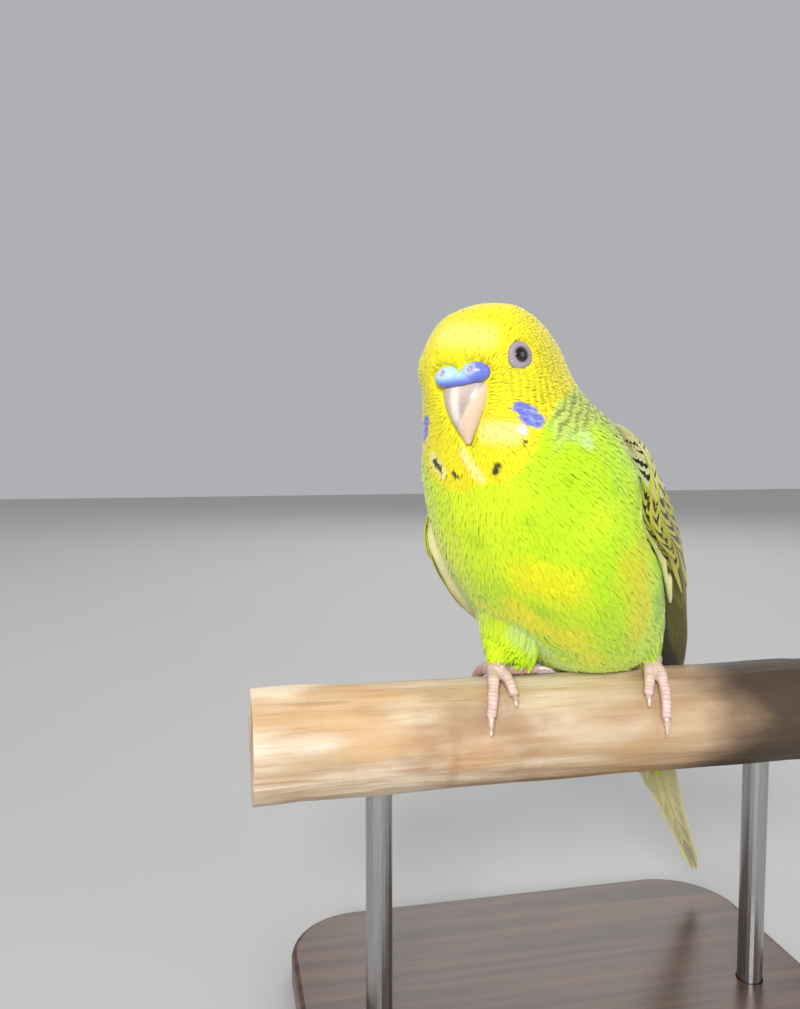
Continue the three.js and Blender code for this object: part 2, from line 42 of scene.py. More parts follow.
# Trunk from crown to tail root: back forward, back up, front forward, front up, half width, squareness.
TRUNK = np.array([
    [27.6, 82.6, 28.6, 82.6, 0.6, 2.0],
    [22.4, 80.9, 35.0, 80.6, 8.0, 2.1],
    [17.2, 77.2, 38.8, 76.4, 11.8, 2.2],
    [13.6, 72.6, 40.4, 71.6, 13.9, 2.4],
    [11.4, 68.0, 39.8, 66.6, 14.8, 2.5],
    [9.2, 64.4, 39.0, 61.0, 15.8, 2.6],
    [4.4, 61.4, 38.4, 54.4, 17.8, 2.5],
    [-1.2, 57.4, 37.9, 47.8, 20.8, 2.3],
    [-6.7, 51.4, 36.4, 40.5, 22.6, 2.2],
    [-12.2, 44.2, 33.6, 32.8, 23.6, 2.2],
    [-17.4, 36.8, 29.0, 24.6, 23.8, 2.2],
    [-21.8, 28.4, 22.4, 16.4, 22.8, 2.2],
    [-25.8, 19.6, 13.6, 8.6, 20.4, 2.2],
    [-29.4, 10.8, 3.4, 1.6, 16.6, 2.2],
    [-32.8, 1.6, -8.0, -3.4, 12.6, 2.1],
    [-36.4, -8.0, -18.6, -11.0, 9.4, 2.0],
    [-40.2, -18.0, -28.0, -22.0, 7.2, 2.0],
    [-45.0, -28.0, -37.8, -31.6, 5.2, 2.0],
])

# Folded wing, laid over the trunk from wrist to tip, and the straight tail.
WING_SPAN = (0.4, 0.985)
WING_LOW_EDGE = np.array([-36, -20, 6, 1, -2, -9, -22, -40, -62.0])
WING_DROPPED = np.array([0, 6, 14, 24, 22, 12, 4, 0, 0.0])
WING_HIGH_EDGE = np.array([-50, -68, -80, -83, -84, -84, -84, -84, -84.0])
WING_INNER = np.array([0.5, 0.6, 0.8, 1.2, 2.2, 3.6, 4.2, 3.6, 2.6])
WING_ARM = np.array([0.9, 1.9, 2.1, 1.9, 1.5, 0.7])
WING_ARM_END = 0.56
TAIL_ROOT = (-29.5, -9.0)
TAIL_TIP = (-69.2, -73.5)

EYE_AT = (11.7, 35.1, 69.6)
EYE_OUTWARD = 65.0
EYE_UPWARD = 4.0
EYE_RADIUS = 2.5
EYE_DEEP = 1.75
LID_RING = 1.87
LID_TUBE = 0.9
FACE_MIDDLE = (0.0, 38.5, 64.0)
HEAD_MIDDLE = (0.0, 25.6, 66.0)
NOSTRIL_AT = (3.2, 40.6, 67.8)

# The coat's small feathers, in millimetres: distances from the face, then the values there.
COAT_SPACING = ([6, 12, 24, 36, 60], [0.27, 0.3, 0.38, 0.46, 0.54])
COAT_DEPTH = ([7, 13, 24, 50], [0.45, 0.7, 1.0, 1.3])
LEAF_LENGTH = ([6, 12, 24, 36, 50, 80], [1.5, 2.3, 3.4, 4.8, 6.0, 7.0])
LEAF_WIDTH = ([6, 12, 24, 36, 60], [0.42, 0.54, 0.74, 1.0, 1.25])
# Distances from the nearer eye, then shares of the spacing and of the size there.
EYE_SPACING = ([3, 6, 10], [0.75, 0.9, 1])
EYE_LEAVES = ([3, 6, 10], [0.55, 0.8, 1])
EYE_CLEAR = 2.74
LEG_LEAF = 5.5
COAT_TRIES = 420000
COAT_PIECE = 7000
COAT_PIECES = (
    ("crown", "plumage_mask"), ("face", "plumage_mask"), ("throat", "plumage_mask"),
    ("breast", "plumage_body"), ("belly", "plumage_body"),
)
# Rounded bars, as start, end, radius and softness: the far eye's brow and the loose feathers of the vent.
FAR_BROW = ((-9.6, 38.2, 71.0), (-9.9, 38.0, 68.0), 1.6, 0.7)
LOOSE_VENT = ((16, 0, 8), (-14, 10, 12), 16, 0.6)
# Rings of a small feather: place along it, share of its width, share of its height.
LEAF = np.array([[0.0, 0.6, -0.3], [0.38, 1.0, 0.42], [0.78, 0.8, 0.86], [1.0, 0.2, 0.98]])

FLESH = ("head", "neck", "torso", "thigh_left", "thigh_right")
HARD = ("cere", "bill_upper", "bill_lower")
EYES = ("eye_left", "eye_right")

BIRD = (
    Matrix.Translation((0, BRANCH_BACK * MM, (BRANCH_HEIGHT + BRANCH_RADIUS) * MM))
    @ Matrix.Rotation(math.radians(-HEADING), 4, "Z")
    @ Matrix.Rotation(math.radians(-LEAN), 4, "Y")
    @ Matrix.Translation((SIDESTEP * MM, 0, 0))
)
BIRD_MATRIX = np.array(BIRD)
BIRD_INVERSE = np.array(BIRD.inverted())


def placed(points):
    """Points of the bird's own frame (left, forward, up, in millimetres) in the part's frame."""
    points = np.asarray(points, float) * (MM, -MM, MM)
    return points @ BIRD_MATRIX[:3, :3].T + BIRD_MATRIX[:3, 3]


def own(points):
    """Points of the part's frame as left, forward and up of the bird, in millimetres."""
    points = np.asarray(points, float) @ BIRD_INVERSE[:3, :3].T + BIRD_INVERSE[:3, 3]
    return points / (MM, -MM, MM)


def smooth(low, high, value):
    share = np.clip((value - low) / (high - low), 0, 1)
    return share * share * (3 - 2 * share)


def unit(vectors):
    return vectors / np.maximum(np.linalg.norm(vectors, axis=-1, keepdims=True), 1e-12)


def distance(points, place):
    return np.linalg.norm(points - np.asarray(place), axis=-1)


def between(first, last, share):
    """What lies at a share of the way from the first to the last."""
    return np.asarray(first) + np.subtract(last, first) * share


def mirrored(points):
    """Points of either side, all moved to the left side."""
    return points * (np.sign(points[:, :1]) * (1, 0, 0) + (0, 1, 1))


def through(values, place):
    """Values at places from 0 to 1 on a smooth line through equally spaced values."""
    at = np.clip(place, 0, 1) * (len(values) - 1)
    i = np.minimum(np.floor(at).astype(int), len(values) - 2)
    a, b, c, d = (values[np.clip(i + k, 0, len(values) - 1)] for k in (-1, 0, 1, 2))
    part = at - i
    if values.ndim > 1:
        part = part[..., None]
    return b + 0.5 * part * (c - a + part * (2 * a - 5 * b + 4 * c - d + part * (3 * (b - c) + d - a)))


def on_ring(place, degrees):
    """Points on the trunk (left, forward, up), by place from crown to tail and angle from side to front."""
    back_f, back_u, front_f, front_u, half, square = np.moveaxis(through(TRUNK, place), -1, 0)
    c, s = np.cos(np.radians(degrees)), np.sin(np.radians(degrees))
    power = 2 / square
    side = half * np.sign(c) * np.abs(c) ** power
    reach = np.sign(s) * np.abs(s) ** power
    forward = (back_f + front_f) / 2 + (front_f - back_f) / 2 * reach
    up = (back_u + front_u) / 2 + (front_u - back_u) / 2 * reach
    return np.stack([side, forward, up], -1)


def on_trunk(place, degrees, height):
    along = on_ring(place + 0.01, degrees) - on_ring(place - 0.01, degrees)
    around = on_ring(place, degrees + 2) - on_ring(place, degrees - 2)
    return on_ring(place, degrees) + unit(np.cross(along, around)) * np.asarray(height)[..., None]


def on_wing(side, place, across, height):
    """Points of a wing, by place from wrist to tip, across it from low to high edge, and height."""
    drop = through(WING_DROPPED, place) if side < 0 else 0
    low = through(WING_LOW_EDGE, place) + drop
    degrees = low + (through(WING_HIGH_EDGE, place) - low) * across
    start, end = WING_SPAN
    points = on_trunk(start + (end - start) * place, degrees, through(WING_INNER, place) + height)
    return points * (side, 1, 1)


TAIL_START = np.array([0, *TAIL_ROOT])
TAIL_WAY = unit(np.array([0, *TAIL_TIP]) - TAIL_START)
TAIL_LENGTH = math.hypot(TAIL_TIP[0] - TAIL_ROOT[0], TAIL_TIP[1] - TAIL_ROOT[1])


def on_tail(along, across, height):
    """Points on the tail, by way down it from its root, side and height over its middle plane."""
    above = np.array([0, TAIL_WAY[2], -TAIL_WAY[1]])
    points = TAIL_START + TAIL_WAY * along[..., None]
    return points + np.array([1, 0, 0]) * across[..., None] + above * height[..., None]


def linear(red, green, blue):
    """A colour given as sRGB bytes, in linear shares."""
    shares = np.array([red, green, blue], float) / 255
    return np.where(shares <= 0.04045, shares / 12.92, ((shares + 0.055) / 1.055) ** 2.4)


MASK_YELLOW = linear(252, 238, 22)
PALE_YELLOW = linear(254, 250, 150)
WHITE = linear(252, 252, 232)
LIME = linear(196, 240, 16)
LIGHT_LIME = linear(228, 253, 26)
DEEP_LIME = linear(158, 212, 12)
BELLY_YELLOW = linear(248, 248, 14)
# The belly's yellow made darker for the flank: painted shade.
SHADED_FLANK_YELLOW = linear(223, 226, 10)
MINT = linear(206, 244, 140)
NAPE_CREAM = linear(204, 224, 96)
SPOT_BROWN = linear(62, 50, 16)
CHEEK_VIOLET = linear(118, 124, 222)
CHEEK_PALE = linear(176, 184, 236)
OLIVE = linear(112, 116, 22)
WING_BLACK = linear(30, 28, 22)
# The wing's pale, olive and grey are its own feather colours, darkened by about 15 per cent as painted shade.
WING_PALE = linear(180, 174, 56)
WING_CREAM = linear(244, 236, 180)
WING_OLIVE = linear(106, 96, 28)
WING_GREY = linear(72, 64, 44)
TAIL_PALE = linear(232, 224, 160)
TAIL_GREY = linear(190, 184, 146)
BAR_COLOUR = OLIVE * 0.5

# Lower edge of the yellow mask: height by angle round the neck, left positive, 0 in front.
MASK_EDGE = np.array([
    [-180, 65.5], [-120, 64.5], [-86, 63], [-60, 60.5], [-50, 55], [-42.7, 48.8], [-32.6, 46.7], [-23, 45.0],
    [-15.5, 44.3], [-10, 44.0], [-2, 44.8], [3.3, 45.6], [12.5, 45.3], [21.3, 45.4], [29.9, 47.0], [36.3, 49.1],
    [42.7, 51.6], [45.6, 54.6], [53, 57.5], [60, 60.5], [86, 63], [120, 64.5], [180, 65.5],
])
NECK_FORWARD = 20.0
EDGE_SOFT = 0.6

# Patches: colour, most share, then rounded bars as start, end, radius and softness.
BODY_PATCHES = (
    (BELLY_YELLOW, 1.0, ((6, 29.5, 25), (12, 25, 23), 4.4, 0.7)),
    (BELLY_YELLOW, 1.0, ((-1, 25.2, 18.8), (6.4, 13.8, 9.2), 3.0, 0.7)),
    (BELLY_YELLOW, 0.7, ((8, 15, 11), (8, 6, 5), 3.0, 0.8)),
    (BELLY_YELLOW, 0.6, ((-11, 22.4, 19.7), (-3, 21.9, 16.1), 2.0, 0.9)),
    # The flank patch takes the darker yellow, painted shade on the flank.
    (
        SHADED_FLANK_YELLOW, 1.0,
        ((21.8, 13.5, 26.5), (21.5, 8, 19.5), 4.4, 0.7), ((21.5, 7, 17), (19.0, 3.5, 9), 3.8, 0.7),
    ),
    (DEEP_LIME, 1.0, ((21.5, 0, 17.6), (20.4, -4, 13.4), 2.4, 0.6)),
    (MINT, 0.8, ((-3.6, 18.8, 13.0), (0.4, 4.1, 2.2), 2.0, 0.7)),
    (MINT, 1.0, ((16, 30, 57.5), (17, 28, 54), 2.0, 0.8)),
    (MINT, 1.0, ((19.2, 24.5, 54.6), (19.4, 25.2, 52), 1.8, 0.8)),
)
MASK_PATCHES = (
    (PALE_YELLOW, 0.9, ((-1.9, 38.2, 52.3), (1.7, 37.5, 46.2), 0.9, 0.6)),
    (PALE_YELLOW, 0.8, ((4.5, 38, 55.4), (9.5, 37, 54.6), 2.0, 0.7)),
    # Painted highlight on the forehead, at half strength.
    (PALE_YELLOW, 0.5, ((-3, 39, 76), (6, 39, 74), 2.6, 0.8)),
)
CHEEK_PATCH = (
    ((10.9, 36.4, 59.5), (12.7, 34.8, 58.4), 1.15, 0.2),
    ((12.0, 35.4, 57.6), (13.6, 34.1, 56.6), 1.45, 0.2),
)
FACE_SPOTS = (
    (WHITE, 1.0, ((11.0, 36.2, 55.3), (11.3, 35.9, 54.9), 0.9, 0.3)),
    (PALE_YELLOW, 1.0, ((-9.9, 36.3, 51.3), (-8.0, 37.0, 48.6), 1.5, 0.3)),
    (SPOT_BROWN, 1.0, ((-9.6, 36.4, 50.9), (-8.4, 36.9, 49.1), 0.75, 0.3)),
    (SPOT_BROWN, 1.0, ((-4.5, 37.5, 47.9), (-3.9, 37.5, 47.2), 0.55, 0.3)),
    (SPOT_BROWN, 1.0, ((5.7, 37.4, 48.5), (4.9, 37.4, 47.5), 0.75, 0.3)),
    (SPOT_BROWN, 1.0, ((11.5, 35.8, 52.7), (11.3, 35.8, 52.3), 0.5, 0.3)),
)
BARRED_CHEEK = ((10.4, 36.6, 64.4), (13.4, 33.8, 61.0), 2.6, 0.5)
# Millimetres from bar to bar on the head, on the back of the head and on the mantle.
FINE_BARS = 1.35
BACK_BARS = 1.5
MANTLE_BARS = 2.1
HEAD_RADIUS = 14.5


def near(points, start, end, radius, soft=0.35):
    """1 within a rounded bar from start to end, fading to 0 past its radius."""
    start, end = np.array(start, float), np.array(end, float)
    way = end - start
    share = np.clip((points - start) @ way / max(way @ way, 1e-9), 0, 1)
    off = np.linalg.norm(points - start - share[:, None] * way, axis=1)
    return 1 - smooth(radius * (1 - soft), radius * (1 + soft), off)


def ripple(points, scale, seed=0.0):
    """A soft mottle between 0 and 1."""
    a, b, c = (points * scale + seed).T
    waves = np.sin(a * 1.7 + 2 * np.sin(b * 1.3)) + np.sin(b * 2.1 + 1.5 * np.sin(c * 1.1 + seed))
    waves = waves + np.sin(c * 1.9 + a)
    return 0.5 + waves / 6


def blended(colours, shade, share):
    """Colours moved towards a shade, each by its own share."""
    return colours + (shade - colours) * np.clip(share, 0, 1)[..., None]


def within(points, rounded):
    return np.max([near(points, *bar) for bar in rounded], axis=0)


def painted(colours, points, patches, share=1.0):
    for shade, most, *rounded in patches:
        colours = blended(colours, shade, within(points, rounded) * most * share)
    return colours


def round_neck(points):
    """Angle round the neck, height above the mask's edge, and how far a point belongs to the mask."""
    angle = np.degrees(np.arctan2(points[:, 0], points[:, 1] - NECK_FORWARD))
    above_edge = points[:, 2] - np.interp(angle, *MASK_EDGE.T)
    return angle, above_edge, smooth(-EDGE_SOFT, EDGE_SOFT, above_edge)


def nape_share(angle, above_edge):
    """How far places belong to the barred nape and mantle, which reach furthest down the back."""
    turned = np.abs(angle)
    lowest = -9.0 - 22.0 * smooth(96, 140, turned)
    return smooth(48, 58, turned) * smooth(EDGE_SOFT, -EDGE_SOFT, above_edge) * smooth(0, 3, above_edge - lowest)


def plumage(points):
    """Colour of the body feathers at points of the bird's own frame."""
    side, _, up = points.T
    angle, above_edge, mask = round_neck(points)
    # A soft mottle of paler feathers, with painted light: the upper breast is paler towards the bird's right, where
    # the light falls.
    light = smooth(0.35, 0.85, ripple(points, 0.16)) * 0.6 + smooth(17, 2, side) * smooth(22, 36, up) * 0.8
    colour = blended(np.tile(LIME, (len(points), 1)), LIGHT_LIME, light)
    colour = blended(colour, DEEP_LIME, smooth(0.72, 1.0, ripple(points, 0.3, 3)) * 0.4)
    loose = points + 2.2 * (np.stack([ripple(points, 0.42, seed) for seed in (1, 4, 7)], 1) - 0.5)
    colour = painted(colour, loose, BODY_PATCHES)
    colour = blended(colour, NAPE_CREAM, nape_share(angle, above_edge) * 0.9)
    colour = blended(colour, MASK_YELLOW, mask)
    colour = painted(colour, points, MASK_PATCHES, mask)
    for mirror in (1, -1):
        flipped = points * (mirror, 1, 1)
        cheek = within(flipped, CHEEK_PATCH)
        colour = blended(colour, CHEEK_VIOLET, cheek)
        colour = blended(colour, CHEEK_PALE, cheek * smooth(0.5, 0.9, ripple(flipped, 2.2, 2)) * 0.8)
    return painted(colour, points, FACE_SPOTS)


def bars(points):
    """How dark the feathers are barred: finely behind the eye, boldly on the nape and the mantle."""
    side, forward, up = points.T
    angle, above_edge, mask = round_neck(points)
    turned = np.abs(angle)

    def wave(place, period):
        return smooth(0.1, 0.8, np.sin(place * 2 * np.pi / period))

    wobble = ripple(points, 0.5, 2) * 1.2
    to_face = unit(np.subtract(FACE_MIDDLE, HEAD_MIDDLE))
    from_bill = np.arccos(np.clip(unit(points - HEAD_MIDDLE) @ to_face, -1, 1)) * HEAD_RADIUS
    down_back = up * 0.75 + forward * 0.66 + wobble
    fine = wave(from_bill + wobble * 0.7, FINE_BARS)
    fine += (wave(down_back, BACK_BARS) - fine) * smooth(80, 110, turned)
    behind = smooth(48, 66, np.degrees(np.arctan2(np.abs(side), forward - 24)))
    cheek = near(mirrored(points), *BARRED_CHEEK)
    most = np.clip(behind * (0.4 + 0.35 * smooth(80, 120, turned)) + cheek * 0.32, 0, 0.75)
    bold = wave(down_back, MANTLE_BARS) * (0.62 + 0.3 * smooth(96, 140, turned))
    return np.maximum(fine * most * mask, bold * nape_share(angle, above_edge))


# Making pieces.
def activate(piece):
    bpy.ops.object.select_all(action="DESELECT")
    piece.select_set(True)
    bpy.context.view_layer.objects.active = piece


def shade_smooth(piece):
    activate(piece)
    bpy.ops.object.shade_smooth()


def modify(piece, kind, **settings):
    """Adds a modifier and applies it."""
    modifier = piece.modifiers.new(kind.title(), kind)
    for key, value in settings.items():
        setattr(modifier, key, value)
    activate(piece)
    bpy.ops.object.modifier_apply(modifier=modifier.name)


def copy_of(name, *nodes):
    """The solids of some nodes as one new piece, with their doubled points merged."""
    copies = []
    for node in nodes:
        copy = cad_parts[node].copy()
        copy.data = copy.data.copy()
        copy.parent = None
        for key in list(copy.keys()):
            del copy[key]
        bpy.context.scene.collection.objects.link(copy)
        copies.append(copy)
    bpy.ops.object.select_all(action="DESELECT")
    for copy in copies:
        copy.select_set(True)
    bpy.context.view_layer.objects.active = copies[0]
    if len(copies) > 1:
        bpy.ops.object.join()
    piece = bpy.context.view_layer.objects.active
    piece.name = name
    piece.data.name = name
    bpy.ops.object.mode_set(mode="EDIT")
    bpy.ops.mesh.select_all(action="SELECT")
    bpy.ops.mesh.remove_doubles(threshold=0.02 * MM)
    bpy.ops.object.mode_set(mode="OBJECT")
    return piece


def finish(piece, material, slot, *replaced):
    """Gives a piece its material, and lets it stand for nodes of the solids. The slot is not used."""
    piece.data.materials.clear()
    piece.data.materials.append(material)
    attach(piece, "root")
    if replaced:
        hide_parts(*replaced)


def point_values(piece, kind="co"):
    """Places of a piece's points, or their normals."""
    flat = np.empty(len(piece.data.vertices) * 3, np.float32)
    piece.data.vertices.foreach_get(kind, flat)
    return flat.reshape(-1, 3).astype(float)


def move_points(piece, points):
    piece.data.vertices.foreach_set("co", np.asarray(points, np.float32).ravel())
    piece.data.update()


def paint_points(piece, colours, name="marking"):
    layer = piece.data.color_attributes.new(name, "FLOAT_COLOR", "POINT")
    full = np.ones((len(colours), 4), np.float32)
    full[:, :3] = colours
    layer.data.foreach_set("color", full.ravel())


def mesh_piece(name, points, quads, uvs=None, bake=None):
    """A smooth piece from points and four-sided faces, with a UV pair for each corner."""
    mesh = bpy.data.meshes.new(name)
    mesh.vertices.add(len(points))
    mesh.vertices.foreach_set("co", np.asarray(points, np.float32).ravel())
    mesh.loops.add(quads.size)
    mesh.loops.foreach_set("vertex_index", quads.astype(np.int32).ravel())
    mesh.polygons.add(len(quads))
    mesh.polygons.foreach_set("loop_start", np.arange(len(quads), dtype=np.int32) * 4)
    mesh.update(calc_edges=True)
    mesh.polygons.foreach_set("use_smooth", np.ones(len(quads), bool))
    for label, pairs in (("vane", uvs), ("OFBake", bake)):
        if pairs is not None:
            layer = mesh.uv_layers.new(name=label)
            layer.data.foreach_set("uv", pairs[quads.ravel()].astype(np.float32).ravel())
    piece = bpy.data.objects.new(name, mesh)
    bpy.context.scene.collection.objects.link(piece)
    return piece


# Shader building.
def new_node(tree, kind, inputs=None, **settings):
    made = tree.nodes.new(kind)
    for key, value in settings.items():
        setattr(made, key, value)
    for key, value in (inputs or {}).items():
        made.inputs[key].default_value = value
    return made


def feed(value, socket):
    """Gives a socket a plain value, or the link that brings one."""
    if isinstance(value, bpy.types.NodeSocket):
        socket.id_data.links.new(value, socket)
    else:
        socket.default_value = value


def new_group(name, inputs, outputs):
    """An empty node group with named sockets, and its input and output nodes."""
    tree = bpy.data.node_groups.new(name, "ShaderNodeTree")
    for label, kind, value in inputs:
        socket = tree.interface.new_socket(label, in_out="INPUT", socket_type=kind)
        socket.default_value = value
    for label, kind in outputs:
        tree.interface.new_socket(label, in_out="OUTPUT", socket_type=kind)
    return tree, tree.nodes.new("NodeGroupInput"), tree.nodes.new("NodeGroupOutput")


def surface(name, roughness, **sockets):
    """A new material with a Principled shader, its tree and that shader."""
    material = bpy.data.materials.new(name)
    material.use_nodes = True
    tree = material.node_tree
    shader = tree.nodes["Principled BSDF"]
    shader.inputs["Roughness"].default_value = roughness
    for key, value in sockets.items():
        shader.inputs[key.replace("_", " ")].default_value = value
    return material, tree, shader


def bumped(shader, height, strength, relief):
    bump = new_node(height.id_data, "ShaderNodeBump", {"Strength": strength, "Distance": relief})
    feed(height, bump.inputs["Height"])
    feed(bump.outputs["Normal"], shader.inputs["Normal"])


def calculated(operation, *values):
    """The result of an operation on sockets and plain numbers, at least one of them a socket."""
    tree = next(value.id_data for value in values if isinstance(value, bpy.types.NodeSocket))
    made = new_node(tree, "ShaderNodeMath", operation=operation)
    for value, socket in zip(values, made.inputs):
        feed(value, socket)
    return made.outputs[0]


def times(first, second):
    return calculated("MULTIPLY", first, second)


def plus(first, second):
    return calculated("ADD", first, second)


def minus(first, second):
    return calculated("SUBTRACT", first, second)


def mixed(share, first, second):
    """Two colours, each plain or from a socket, mixed by a socket's share."""
    made = new_node(share.id_data, "ShaderNodeMix", data_type="RGBA")
    feed(share, made.inputs[0])
    for i, colour in ((6, first), (7, second)):
        feed(colour if isinstance(colour, bpy.types.NodeSocket) else (*colour, 1), made.inputs[i])
    return made.outputs[2]


def ramp(value, low, high):
    ends = {"From Min": low, "From Max": high}
    made = new_node(value.id_data, "ShaderNodeMapRange", ends, interpolation_type="SMOOTHSTEP")
    feed(value, made.inputs["Value"])
    return made.outputs["Result"]


def scaled(colour, share):
    made = new_node(colour.id_data, "ShaderNodeVectorMath", operation="SCALE")
    feed(colour, made.inputs[0])
    feed(share, made.inputs["Scale"])
    return made.outputs["Vector"]


def parts_of(vector):
    """The X, Y and Z sockets of a vector."""
    split = new_node(vector.id_data, "ShaderNodeSeparateXYZ")
    feed(vector, split.inputs["Vector"])
    return split.outputs


def object_place(tree):
    return new_node(tree, "ShaderNodeTexCoord").outputs["Object"]


def vane_place(tree):
    return parts_of(new_node(tree, "ShaderNodeUVMap", uv_map="vane").outputs["UV"])


def read_colour(tree, name="marking"):
    return new_node(tree, "ShaderNodeAttribute", attribute_name=name).outputs["Color"]


def object_noise(tree, scale, stretch=(1, 1, 1), detail=3.0, turn=(0, 0, 0)):
    """Noise on Object coordinates, stretched along an axis."""
    mapping = new_node(tree, "ShaderNodeMapping", {"Scale": stretch, "Rotation": turn})
    noise = new_node(tree, "ShaderNodeTexNoise", {"Scale": scale, "Detail": detail})
    feed(object_place(tree), mapping.inputs["Vector"])
    feed(mapping.outputs["Vector"], noise.inputs["Vector"])
    return noise.outputs["Fac"]


def barb_group():
    """Fine barbs on both sides of a shaft, from a vane's own map, as a colour and a height. The colour carries
    painted shade in the grooves between barbs.
    """
    tree, inside, outside = new_group(
        "feather_barbs",
        [
            ("Marking", "NodeSocketColor", (1, 1, 1, 1)),
            ("Barbs", "NodeSocketFloat", 20.0),
            ("Depth", "NodeSocketFloat", 0.12),
        ],
        [("Color", "NodeSocketColor"), ("Height", "NodeSocketFloat")],
    )
    vane = vane_place(tree)
    off = calculated("ABSOLUTE", minus(vane["X"], 0.5))
    slanted = minus(vane["Y"], times(off, 0.35))
    wave = calculated("SINE", times(times(slanted, inside.outputs["Barbs"]), 2 * math.pi))
    shaft = ramp(off, 0.06, 0.0)
    broken = object_noise(tree, 900, detail=2)
    # Painted shade: the colour darkens in the grooves between barbs, times a random tone from the noise.
    shade = times(plus(wave, -1.0), inside.outputs["Depth"])
    barb_shade_and_tone = times(plus(times(shade, 0.5), 1.0), plus(times(broken, 0.16), 0.92))
    feed(scaled(inside.outputs["Marking"], barb_shade_and_tone), outside.inputs["Color"])
    feed(plus(times(wave, broken), shaft), outside.inputs["Height"])
    return tree


def centre_group():
    """Two dark bars or one long centre on each vane, placed by its own map and by the piece's own values."""
    tree, inside, outside = new_group(
        "feather_centre",
        [
            ("Marking", "NodeSocketColor", (1, 1, 1, 1)),
            ("Centre", "NodeSocketColor", (0, 0, 0, 1)),
            ("Place", "NodeSocketColor", (1, 1, 1, 1)),
        ],
        [("Color", "NodeSocketColor")],
    )
    vane, place = vane_place(tree), parts_of(inside.outputs["Place"])
    off = times(minus(vane["X"], 0.5), 2.0)
    bent = calculated("MULTIPLY_ADD", times(off, off), 0.22, vane["Y"])
    beyond = minus(bent, place["X"])
    first, second = calculated("ABSOLUTE", beyond), calculated("ABSOLUTE", plus(beyond, 0.2))
    length = calculated("DIVIDE", calculated("MINIMUM", first, second), place["Y"])
    width = calculated("DIVIDE", off, place["Z"])
    reach = calculated("SQRT", plus(times(length, length), times(width, width)))
    ragged = times(minus(object_noise(tree, 2600, detail=2), 0.5), 0.5)
    share = ramp(plus(reach, ragged), 1.12, 0.9)
    feed(mixed(share, inside.outputs["Marking"], inside.outputs["Centre"]), outside.inputs["Color"])
    return tree


def feather_material(name, barbs, depth, strength, roughness=0.62, sheen=0.35, centred=False):
    """A feather material, with a dark centre on each vane where the piece asks for one."""
    material, tree, shader = surface(
        name, roughness, Sheen_Weight=sheen, Sheen_Roughness=0.45, Specular_IOR_Level=0.28,
        Subsurface_Weight=0.12, Subsurface_Radius=(1.0, 0.9, 0.3), Subsurface_Scale=0.0012,
    )
    colour = read_colour(tree)
    if centred:
        centre = new_node(tree, "ShaderNodeGroup", node_tree=CENTRES)
        feed(colour, centre.inputs["Marking"])
        for label in ("Centre", "Place"):
            feed(read_colour(tree, label.lower()), centre.inputs[label])
        colour = centre.outputs["Color"]
    barbed = new_node(tree, "ShaderNodeGroup", {"Barbs": barbs, "Depth": depth}, node_tree=BARBS)
    feed(colour, barbed.inputs["Marking"])
    feed(barbed.outputs["Color"], shader.inputs["Base Color"])
    bumped(shader, barbed.outputs["Height"], strength, 0.00006)
    return material


def marked_material(name, roughness, scale, strength, relief, vary=0.12, **sockets):
    """A material that takes its colours from the piece's marking, with fine mottling and bump."""
    material, tree, shader = surface(name, roughness, **sockets)
    grain = object_noise(tree, scale, detail=4)
    shade = plus(times(grain, 2 * vary), 1 - vary)
    feed(scaled(read_colour(tree), shade), shader.inputs["Base Color"])
    bumped(shader, grain, strength, relief)
    return material


# Skin of the whole body, one surface inside the coat.
def coat_depth(places):
    """How thick the coat is: thin on the face, thickest on flanks and vent."""
    return np.interp(distance(places, FACE_MIDDLE), *COAT_DEPTH)


def tail_line():
    """The tail's root and the way to its tip, in the part's frame."""
    root, tip = placed([(0, *TAIL_ROOT), (0, *TAIL_TIP)])
    return root, unit(tip - root)


def solid_tree(*nodes):
    """A search tree over the faces of some of the solids."""
    points, faces = [], []
    for node in nodes:
        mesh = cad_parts[node].data
        start = len(points)
        points += [vertex.co.copy() for vertex in mesh.vertices]
        faces += [tuple(start + i for i in polygon.vertices) for polygon in mesh.polygons]
    return BVHTree.FromPolygons(points, faces)


def height_over(tree, point):
    """Height of a point over the nearest face, in millimetres."""
    found, normal, _, _ = tree.find_nearest(Vector(point))
    return (Vector(point) - found) @ normal / MM


def body_skin():
    """The flesh solids as one skin, drawn in by the depth of the coat and further beside cere and bill."""
    skin = copy_of("skin", *FLESH, "tail", *HARD, *EYES)
    bpy.ops.object.mode_set(mode="EDIT")
    bpy.ops.mesh.select_all(action="SELECT")
    root, way = tail_line()
    bpy.ops.mesh.bisect(plane_co=root + way * 20 * MM, plane_no=way, use_fill=True, clear_outer=True)
    bpy.ops.object.mode_set(mode="OBJECT")
    swell = 0.5
    modify(skin, "DISPLACE", strength=swell * MM, mid_level=0)
    modify(skin, "REMESH", mode="VOXEL", voxel_size=0.7 * MM)
    modify(skin, "SMOOTH", factor=0.6, iterations=8)
    points = point_values(skin)
    move_points(skin, points - point_values(skin, "normal") * (swell + coat_depth(own(points)))[:, None] * MM)
    modify(skin, "SMOOTH", factor=0.5, iterations=4)
    hard = solid_tree(*HARD)
    points, normals = point_values(skin), point_values(skin, "normal")
    for i in np.flatnonzero(distance(own(points), FACE_MIDDLE) < 14):
        points[i] -= normals[i] * (0.9 * MM * smooth(0.9, 0.3, height_over(hard, points[i])))
    move_points(skin, points)
    shade_smooth(skin)
    places = own(point_values(skin))
    paint_points(skin, blended(plumage(places), BAR_COLOUR, bars(places)) * 0.8)
    finish(skin, marked_material("skin_down", 0.8, 900, 0.3, 0.0001), "plumage_body", *FLESH)
    return skin


